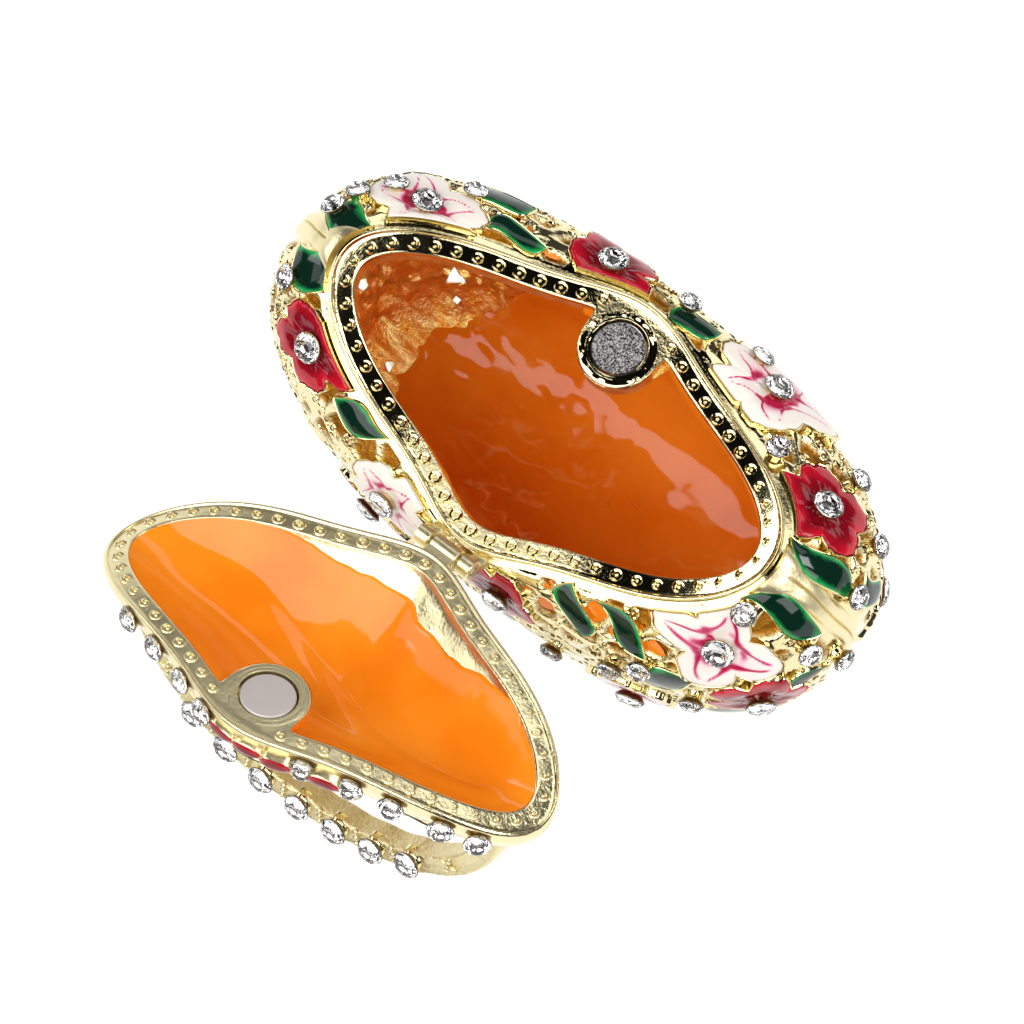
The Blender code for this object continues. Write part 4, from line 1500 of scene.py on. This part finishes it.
# %% [markdown]
# ## Orange in the openwork
# Here and there the orange enamel of the inside ran out through the openwork and set in its
# cells.  Each is a flat patch that lies just below the strands.

# %% Orange pockets in the openwork
# (angle, level): cells of the net through which the lining shows
POCKETS = ((285, 0.82), (297, 0.81), (305, 0.77), (317, 0.94), (293, 0.93), (65, 0.955), (114, 0.84))
PATCH_RADIUS = 2.3


def pocket_fill(angle, level):
    """A flat patch of enamel that lies in the cells round a spot."""
    def where(across, up):
        share = np.minimum(2 * up, 2 - 2 * up)
        turn = math.tau * across
        reach = PATCH_RADIUS * (1 + 0.15 * np.sin(3 * turn + angle)) * share
        height = np.where(up > 0.51, -0.8, -0.28)
        return on_wall(BODY, (angle, level, 0, 0, 0), reach * np.cos(turn), reach * np.sin(turn), height)

    return sheet("pocket", 24, 10, where)


patches = join([pocket_fill(*spot) for spot in POCKETS], "wall_pockets")
settle(patches, "box", orange_enamel, 60)
print("orange pockets", len(POCKETS))

# %% [markdown]
# ## Red petals on the lid's front
# The lid's side is low, so its front carries only a row of small red cells above the magnet.

# %% Petals on the lid's side
def skirt_point(turn, level):
    """Side of the lid: level 0 is just above the rim, 0.5 the turn to the dome and 1 on the dome."""
    turn, level = same_shape(turn, level)
    stops = (0, 0.25, 0.5)
    lift = np.interp(level, stops, (0.9, 2.0, LID_SIDE[1]))
    low = rim_point(turn, np.interp(level, stops, (0.0, 0.3, LID_SIDE[0])), GAP + lift)
    high = lid_point(turn, 1 - np.maximum(level - 0.5, 0) * 0.5)
    return np.where((level > 0.5)[..., None], high, low)


SKIRT = Wall(skirt_point, 0.02, 0.98, 1)
# (x, level, half length, half height, how proud)
FRONT_PETALS = ((-1.2, 0.25, 1.8, 1.1, 0), (2.0, 0.28, 1.8, 1.2, 0.05), (5.0, 0.25, 1.7, 1.2, 0.45),
                (9.6, 0.28, 1.9, 1.2, 0.5))


def front_petal(x, level, half_length, half_height, proud):
    spec = (math.degrees(edge_turn(x)), level, None, None, 0)

    def outline(angle):
        return half_length * np.cos(angle), half_height * np.sin(angle)

    def inner(angle):
        u, v = outline(angle)
        return u * 0.95, v * 0.93

    fill = pillow("front_petal", SKIRT, spec, inner,
                  lambda angle: (0.4 * np.cos(angle), 0 * angle),
                  lambda share, angle: proud + 0.45 + 0.35 * (1 - share ** 2),
                  lambda share, angle: {"bloom": smoothstep(0.2, 1.0, share)}, 36, 12)
    return fill, border("front_petal_border", SKIRT, spec, outline, 36, top=proud + 0.5, thick=0.16)


settle_cells([front_petal(*spec) for spec in FRONT_PETALS],
             ("lid_front_petals", "lid_front_petal_borders"), "lid", red_enamel, satin_gold)

# %% [markdown]
# ## Ring dots on the ground
# Wherever the net is free of leaves and flowers, small rings with a dot are struck on it, the
# same tool mark as on the rims.

# %% Ring dots
# (angle, level) of the small stones between the flowers
UPPER_ACCENTS = (
    (172, 0.84), (163, 0.83), (151, 0.82), (130, 0.78), (87, 0.81), (74, 0.70), (48, 0.94), (42, 0.66),
    (24, 0.64), (7, 0.69), (356, 0.51), (349, 0.68), (341, 0.93), (314, 0.45), (304, 0.64), (297, 0.53),
    (198, 0.82), (284, 0.35),
)
DOT_TRIES = 2600
DOT_SPACING = 1.35
DOT_LIFT = 0.16                    # of a ring's middle off the wall
TIP_CLEAR = 0.13                   # sine of the angle that the straps take at the tips
STONE_CLEAR = 2.0                  # radii kept free of dots
PATCH_CLEAR = 2.4


def kept_clear():
    """Centres and radii of everything that stands on the body's wall."""
    taken = [(wall_frame(BODY, *spec[:2])[0], spec[3] * 0.95 + 0.4) for spec in BODY_FLOWERS]
    taken += [(wall_frame(BODY, *spot)[0], STONE_CLEAR) for spot in UPPER_ACCENTS]
    taken += [(wall_frame(BODY, *spot)[0], PATCH_CLEAR) for spot in POCKETS]
    taken += [(wall_frame(BODY, angle, level)[0], radius + 1.2) for angle, level, radius in WINDOWS]
    for spec in BODY_LEAVES:
        for along in (-0.32, 0.0, 0.32):
            at = np.array([along * spec[2]])
            place = on_wall(BODY, spec, at, 0 * at, 0 * at)[0]
            taken.append((place, spec[3] / 2 + 0.7))
    return taken


def ring_dots():
    rng = random.Random(12)
    taken = kept_clear()
    matrices = []
    for _ in range(DOT_TRIES):
        angle = rng.uniform(0, 360)
        level = rng.uniform(0.12, 0.94)
        size = rng.uniform(0.75, 1.0)
        if abs(math.sin(math.radians(angle))) < TIP_CLEAR:
            continue
        place, out = wall_frame(BODY, angle, level)
        if any(np.linalg.norm(place - centre) < reach for centre, reach in taken):
            continue
        taken.append((place, DOT_SPACING))
        matrices.append(stand(place + out * DOT_LIFT, out) @ Matrix.Scale(size, 4))
    print("ring dots", len(matrices))
    return copies(bead_model(), matrices, "ring_dots")


settle(ring_dots(), "box", polished_gold, 60)

# %% [markdown]
# ## Straps at the tips
# A smooth strap runs down from each tip of the rim, as on a bag's gusset, with a groove along
# its middle.

# %% Straps
STRAP_HALF = 3.0                   # half the width


def strap(name, middle):
    """A strap with rounded edges and a wavy groove."""
    def where(across, up):
        level = 0.992 - up * 0.54
        slim = 1.22 - 0.50 * smoothstep(0.0, 0.55, up) + 0.05 * np.sin(up * 14)
        out = np.where(across < 0.5, 4 * across - 1, 3 - 4 * across)
        u = out * STRAP_HALF * slim
        line = 0.22 * np.sin(up * 9.0) + 0.1
        groove = np.exp(-((u - line) / 0.11) ** 2) * smoothstep(0.10, 0.16, up)
        soft = 1 - np.abs(out) ** 4
        height = -0.2 + 0.62 * soft + 0.5 * soft * smoothstep(0.22, 0.02, up) - 0.35 * groove
        closed = (across > 0.5) | (up < 0.001) | (up > 0.999) | (np.abs(out) > 0.999)
        height = np.where(closed, -0.5, height)
        along = BODY.slopes(np.full_like(u, middle), level)[0]
        turn = middle + u / np.linalg.norm(along, axis=-1)
        return BODY.point(turn, level) + BODY.outward(turn, level) * height[..., None]

    return sheet(name, 128, 56, where)


straps = join([strap("strap", 0.0), strap("strap", math.pi)], "end_straps")
settle(straps, "box", satin_gold, 50)
print("straps: 2, faces:", len(straps.data.polygons))

# %% [markdown]
# ## Stones
# Each stone is a foil-backed chaton: a crown of flat facets with a table, a thin girdle and a
# cone below it.  The facets come from the convex hull of its rings of corners, which is the real
# stone's own geometry, so they stay flat.

# %% Cut stone
GIRDLE_SHARE = 0.52                # height of the girdle, as a share of the stone's


def ring_of(count, radius, height, shift=0.0):
    return [(radius * math.cos(math.tau * (i + shift) / count),
             radius * math.sin(math.tau * (i + shift) / count), height) for i in range(count)]


def stone(name, radius, low, high, matrix):
    """A cut stone whose table is at high and whose cone ends at low."""
    tall = high - low
    girdle = low + tall * GIRDLE_SHARE
    corners = (ring_of(8, radius * 0.56, high) + ring_of(8, radius * 0.82, high - tall * 0.16, 0.5)
               + ring_of(16, radius * 0.99, girdle + 0.06) + ring_of(16, radius * 0.99, girdle - 0.04)
               + ring_of(8, radius * 0.62, low + tall * 0.16, 0.5) + ring_of(8, radius * 0.30, low))
    deselect()
    bpy.ops.mesh.primitive_plane_add(size=1)
    piece = added(name)
    piece.data.clear_geometry()
    piece.data.from_pydata(corners, [], [])
    piece.data.update()
    bpy.context.view_layer.objects.active = piece
    bpy.ops.object.mode_set(mode="EDIT")
    bpy.ops.mesh.select_all(action="SELECT")
    bpy.ops.mesh.convex_hull()
    bpy.ops.mesh.select_all(action="SELECT")
    bpy.ops.mesh.dissolve_limited(angle_limit=math.radians(0.5))
    bpy.ops.mesh.normals_make_consistent(inside=False)
    bpy.ops.object.mode_set(mode="OBJECT")
    piece.data.transform(matrix)
    return piece


# %% [markdown]
# ## Cups, foil and lacquer
# Behind each stone lies a cone of silver foil, lacquered brown on its back, and the whole sits in
# a small turned cup.  All three are profiles turned on the lathe.

# %% Profiles of the settings
def cup_profile(radius, top):
    """A turned cup that holds the stone's cone."""
    foot = -0.9
    return ((0, foot), (radius * 0.92, foot), (radius * 0.84, foot + 0.7), (radius * 0.70, top * 0.4),
            (radius * 0.72, top - 0.02), (radius * 0.76, top + 0.06), (radius * 0.70, top + 0.10),
            (radius * 0.62, top - 0.10), (0, top - 0.5))


def foil_profile(radius, low, girdle):
    """The silvered cone behind a stone."""
    return ((0, low - 0.08), (radius * 0.32, low - 0.07), (radius * 0.67, low + 0.15),
            (radius * 1.0, girdle - 0.08), (radius * 0.985, girdle - 0.03), (radius * 0.97, girdle - 0.08),
            (radius * 0.65, low + 0.18), (radius * 0.30, low - 0.03), (0, low - 0.03))


def lacquer_profile(radius, low, girdle):
    """The lacquered back of the foil, which shows from the side."""
    return ((0, low - 0.20), (radius * 0.36, low - 0.18), (radius * 0.72, low + 0.09),
            (radius * 1.03, girdle - 0.12), (radius * 1.03, girdle - 0.03), (radius * 1.0, girdle - 0.01),
            (radius * 1.0, girdle - 0.10), (radius * 0.68, low + 0.13), (radius * 0.32, low - 0.10),
            (0, low - 0.10))


# %% [markdown]
# ## Setting the stones
# A stone stands at the heart of each flower, smaller ones fill the ground between them, and a row
# runs along the lid's front edge.  Each is spun by a random angle, as a setter would drop it.

# %% Stones on the body and the lid
CENTRE_STONE = 1.6                 # radii of the stones
ACCENT_STONE = 1.3
ROW_STONE = 1.35
STONE_STANDS = 1.17                # how far the table stands above the cup
STONE_SINKS = 0.12                 # how far the cone's tip goes into the cup


def set_stones(prefix, body, spots, radius, cup, node=None, lifts=None):
    """Stones over their cups; spots are (place, outward direction), cup is the cup's height.

    node is the name in the working model that each stone replaces, without its number.
    """
    rng = random.Random(len(spots))
    cups = []
    foils = []
    backs = []
    for index, (place, out) in enumerate(spots):
        matrix = stand(place, out, rng.uniform(0, 1))
        low = cup - STONE_SINKS + (lifts[index] if lifts else 0)
        high = cup + STONE_STANDS
        girdle = low + (high - low) * GIRDLE_SHARE
        number = f"_{index + 1:02d}"
        piece = stone(prefix + number + "_cut", radius, low, high, matrix)
        settle(piece, body, clear_glass, 1, [node + number] if node else ())
        for kept, profile in ((cups, cup_profile(radius, low + STONE_SINKS)),
                              (foils, foil_profile(radius, low, girdle)),
                              (backs, lacquer_profile(radius, low, girdle))):
            kept.append(lathe("seat", profile, 20))
            kept[-1].data.transform(matrix)
    settle(join(cups, prefix + "_cups"), body, polished_gold, 50)
    settle(join(foils, prefix + "_foils"), body, silver_foil, 30)
    settle(join(backs, prefix + "_backs"), body, brown_lacquer, 30)
    print(prefix, len(spots))


centres = [wall_frame(BODY, *spec[:2]) for spec in BODY_FLOWERS]
set_stones("flower_stone", "box", centres, CENTRE_STONE, 0.9, "body_flower_stone")
accents = [wall_frame(BODY, *spot) for spot in UPPER_ACCENTS]
# An accent stone beside a petal is lifted clear of it
ACCENT_LIFT = 0.36
lifts = []
for place, out in accents:
    petals = [np.linalg.norm(place - centre[0]) < spec[3] + 1.0
              for centre, spec in zip(centres, BODY_FLOWERS)]
    lifts.append(ACCENT_LIFT if any(petals) else 0.0)
set_stones("accent_stone", "box", accents, ACCENT_STONE, 0.7, "body_accent_stone", lifts)
tops = [wall_frame(LID, *spec[:2]) for spec in LID_FLOWERS]
set_stones("lid_flower_stone", "lid", tops, CENTRE_STONE, 0.6)

# (x, how far above the rim) of the stones along the lid's front edge
LID_ROW = (
    (-17.2, 1.6), (-12.6, 1.6), (-7.8, 1.6), (-3.8, 1.6), (7.4, 1.9), (12.0, 2.0), (16.0, 2.1),
    (20.6, 2.1), (23.6, 2.1),
)
row = []
for x, lift in LID_ROW:
    turn = edge_turn(np.array([x]))
    place = rim_point(turn, 0.3, GAP + lift)[0]
    out = rim_point(turn, -1.0)[0] - rim_point(turn)[0]
    out[2] = 0
    row.append((place, out / np.linalg.norm(out)))
set_stones("lid_row_stone", "lid", row, ROW_STONE, 0.12, "lid_edge_stone")

# %% [markdown]
# ## Handle
# The handle is a flat band bent into an arch, fixed to the lid at both feet.  Its edges bulge a
# little round each stone, and its face is a shallow trough between them.

# %% Handle
HANDLE_HALF_SPAN = 22.3
HANDLE_FOOT = 8.6
HANDLE_RISE = 14.8
HANDLE_POWER = 2.1
HANDLE_FRONT = 2.0                 # from the middle line to the front face
HANDLE_BAND = 2.9
HANDLE_DEPTH = 2.7
HANDLE_STONES = 7
HANDLE_PITCH = 4.75


def handle_line(turn):
    """Middle line of the handle, and its outward direction in the plane of the arch."""
    step = 0.002
    before, here, after = (oval(turn + nudge, HANDLE_HALF_SPAN, HANDLE_RISE, HANDLE_POWER)
                           for nudge in (-step, 0, step))
    along = after - before
    along /= np.linalg.norm(along, axis=-1, keepdims=True)
    middle = np.full_like(turn, MOUTH_CENTRE_Y)
    place = np.stack((here[:, 0], middle, RIM_HEIGHT + HANDLE_FOOT + here[:, 1]), axis=-1)
    return place, np.stack((along[:, 1], 0 * middle, -along[:, 0]), axis=-1)


fine = np.linspace(0, math.pi, 2001)
travelled = lengths(handle_line(fine)[0])
handle_middle = travelled[-1] / 2
stations = handle_middle + (np.arange(HANDLE_STONES) - (HANDLE_STONES - 1) / 2) * HANDLE_PITCH


def handle_at(distance):
    """Place and outward direction at a distance along the handle's middle line."""
    place, out = handle_line(np.interp(np.array([distance]), travelled, fine))
    return place[0], out[0]


def handle_ring(share):
    """One section of the band, a share of the way along it."""
    distance = share * travelled[-1]
    place, out = handle_at(distance)
    bulge = 0.5 + 0.5 * math.cos(math.tau * (distance - stations[0]) / HANDLE_PITCH)
    past = np.abs(distance - handle_middle) - stations[-1] + handle_middle
    near = float(smoothstep(4.0, 2.0, past))
    deep = HANDLE_DEPTH / 2 * (0.90 + 0.12 * bulge * near)
    angle = np.linspace(0, math.tau, 37)
    section = oval(angle, HANDLE_BAND / 2, deep, 6.0)
    front = smoothstep(0.6, 1.2, section[:, 0])
    trough = 0.22 * front * smoothstep(0.25, 0.55, deep - np.abs(section[:, 1]))
    side = section[:, 0] - trough + HANDLE_FRONT - HANDLE_BAND / 2
    spots = np.stack((section[:, 0], section[:, 1], 0 * side + distance), axis=-1)
    uneven = bumps(spots, 1.3, seed=51.0) * 0.07
    side = side + uneven
    lean = section[:, 1:] * (1 + uneven[:, None]) + 0.18
    return place + out * lean + np.stack((0 * side, side, 0 * side), axis=-1)


handle_rings = [handle_ring(share) for share in np.linspace(0, 1, 161)]
ends = [np.tile(ring.mean(axis=0), (len(ring), 1)) for ring in (handle_rings[0], handle_rings[-1])]
handle_rings = [ends[0]] + handle_rings + [ends[1]]
granular = {"coarse": np.ones((len(handle_rings), len(handle_rings[0])))}
settle(loft("handle", handle_rings, granular), "lid", champagne_gold, 45)
print("handle", round(float(travelled[-1]), 1), "mm long")

# %% [markdown]
# ## Beads and stones on the handle
# Three small beads lie across the band between each two stones, and a cross of four leaves closes
# each end.  All are copies of one ball, stretched for the leaves.

# %% Beads and stones of the handle
HANDLE_STONE = 1.5
BEAD_SUNK = 0.12                   # how far the beads' middles lie behind the front face
forward = np.array((0.0, HANDLE_FRONT, 0.0))
spots = [(handle_at(distance)[0] + forward, np.array((0.0, 1.0, 0.0))) for distance in stations]
bead_front = np.array((0.0, HANDLE_FRONT - BEAD_SUNK, 0.0))
between = []
for distance in (stations[1:] + stations[:-1]) / 2:
    place, out = handle_at(distance)
    for aside in (-0.75, 0.0, 0.75):
        between.append(Matrix.Translation(Vector(place + out * aside + bead_front)))
# Four small leaves in a cross at each end
LEAF_SHAPE = Matrix.Translation((0.62, 0, 0)) @ Matrix.Diagonal((1.4, 0.7, 0.75, 1))
for distance in (stations[0] - 5.2, stations[-1] + 5.2):
    place, out = handle_at(distance)
    for quarter in range(4):
        turn = math.atan2(-out[0], out[2]) + (quarter + 0.5) * math.pi / 2
        aim = Matrix.Rotation(-turn, 4, "Y") @ LEAF_SHAPE
        between.append(Matrix.Translation(Vector(place + bead_front)) @ aim)
print("handle beads", len(between))
deselect()
bpy.ops.mesh.primitive_uv_sphere_add(segments=12, ring_count=8, radius=0.36)
settle(copies(added("handle_bead"), between, "handle_beads"), "lid", satin_gold, 60)
set_stones("handle_stone_set", "lid", spots, HANDLE_STONE, 0.2, "handle_stone")

# %% [markdown]
# ## Hinge
# Three knuckles on one pin: the lid's long one between two short ones of the body.  Each is cast
# with an arm that joins it to its half, and the pin is a wire pushed through and headed.

# %% Hinge
KNUCKLE_RADIUS = 1.1
LID_KNUCKLE = 3.2                  # lengths along the pin
BODY_KNUCKLE = 1.6
# Corners of the arms' sections, seen along the pin and from its middle
BODY_WEB = ((-0.9, -0.3), (0.6, -0.8), (3.6, -3.4), (2.6, -5.0))
LID_WEB = ((0.0, -0.7), (2.6, -0.7), (2.6, 0.8), (0.0, 0.8))


def knuckle(low, high):
    """A short tube round the pin, with its ends chamfered."""
    r = KNUCKLE_RADIUS
    profile = ((0.5, low), (r - 0.12, low), (r, low + 0.12), (r, high - 0.12), (r - 0.12, high),
               (0.5, high), (0.5, low))
    return lathe_at("knuckle", profile, HINGE_CENTRE, HINGE_AXIS, 40)


def web(low, high, corners):
    """An arm between a knuckle and its casting, with rounded edges."""
    steps = ((low, 0.0), (low, 0.9), (low + 0.1, 1.0), (high - 0.1, 1.0), (high, 0.9), (high, 0.0))
    middle = np.mean(corners, axis=0)
    rings = []
    for along, size in steps:
        loop = middle + (np.array(corners + corners[:1]) - middle) * size
        foot = HINGE_CENTRE + HINGE_AXIS * along
        rings.append(foot + np.concatenate((np.zeros((len(loop), 1)), loop), axis=1))
    return loft("web", rings)


inner = LID_KNUCKLE / 2 + GAP
outer = inner + BODY_KNUCKLE
pieces = []
for low, high in ((-outer, -inner), (inner, outer)):
    pieces += [knuckle(low, high), web(low + 0.05, high - 0.05, BODY_WEB)]
settle(join(pieces, "body_knuckles"), "box", satin_gold, 35)
half = LID_KNUCKLE / 2
settle(join([knuckle(-half, half), web(-half + 0.05, half - 0.05, LID_WEB)], "lid_knuckle"), "lid",
       satin_gold, 35)
pin = ((0, -outer), (0.30, -outer), (0.38, -outer + 0.1), (0.38, outer - 0.1), (0.30, outer), (0, outer))
settle(lathe_at("pin", pin, HINGE_CENTRE, HINGE_AXIS, 24), "box", satin_gold, 35,
       ["hinge_pin"])
print("hinge:", len(pieces) // 2, "knuckles of the body and 1 of the lid, on a pin", 2 * outer, "long")
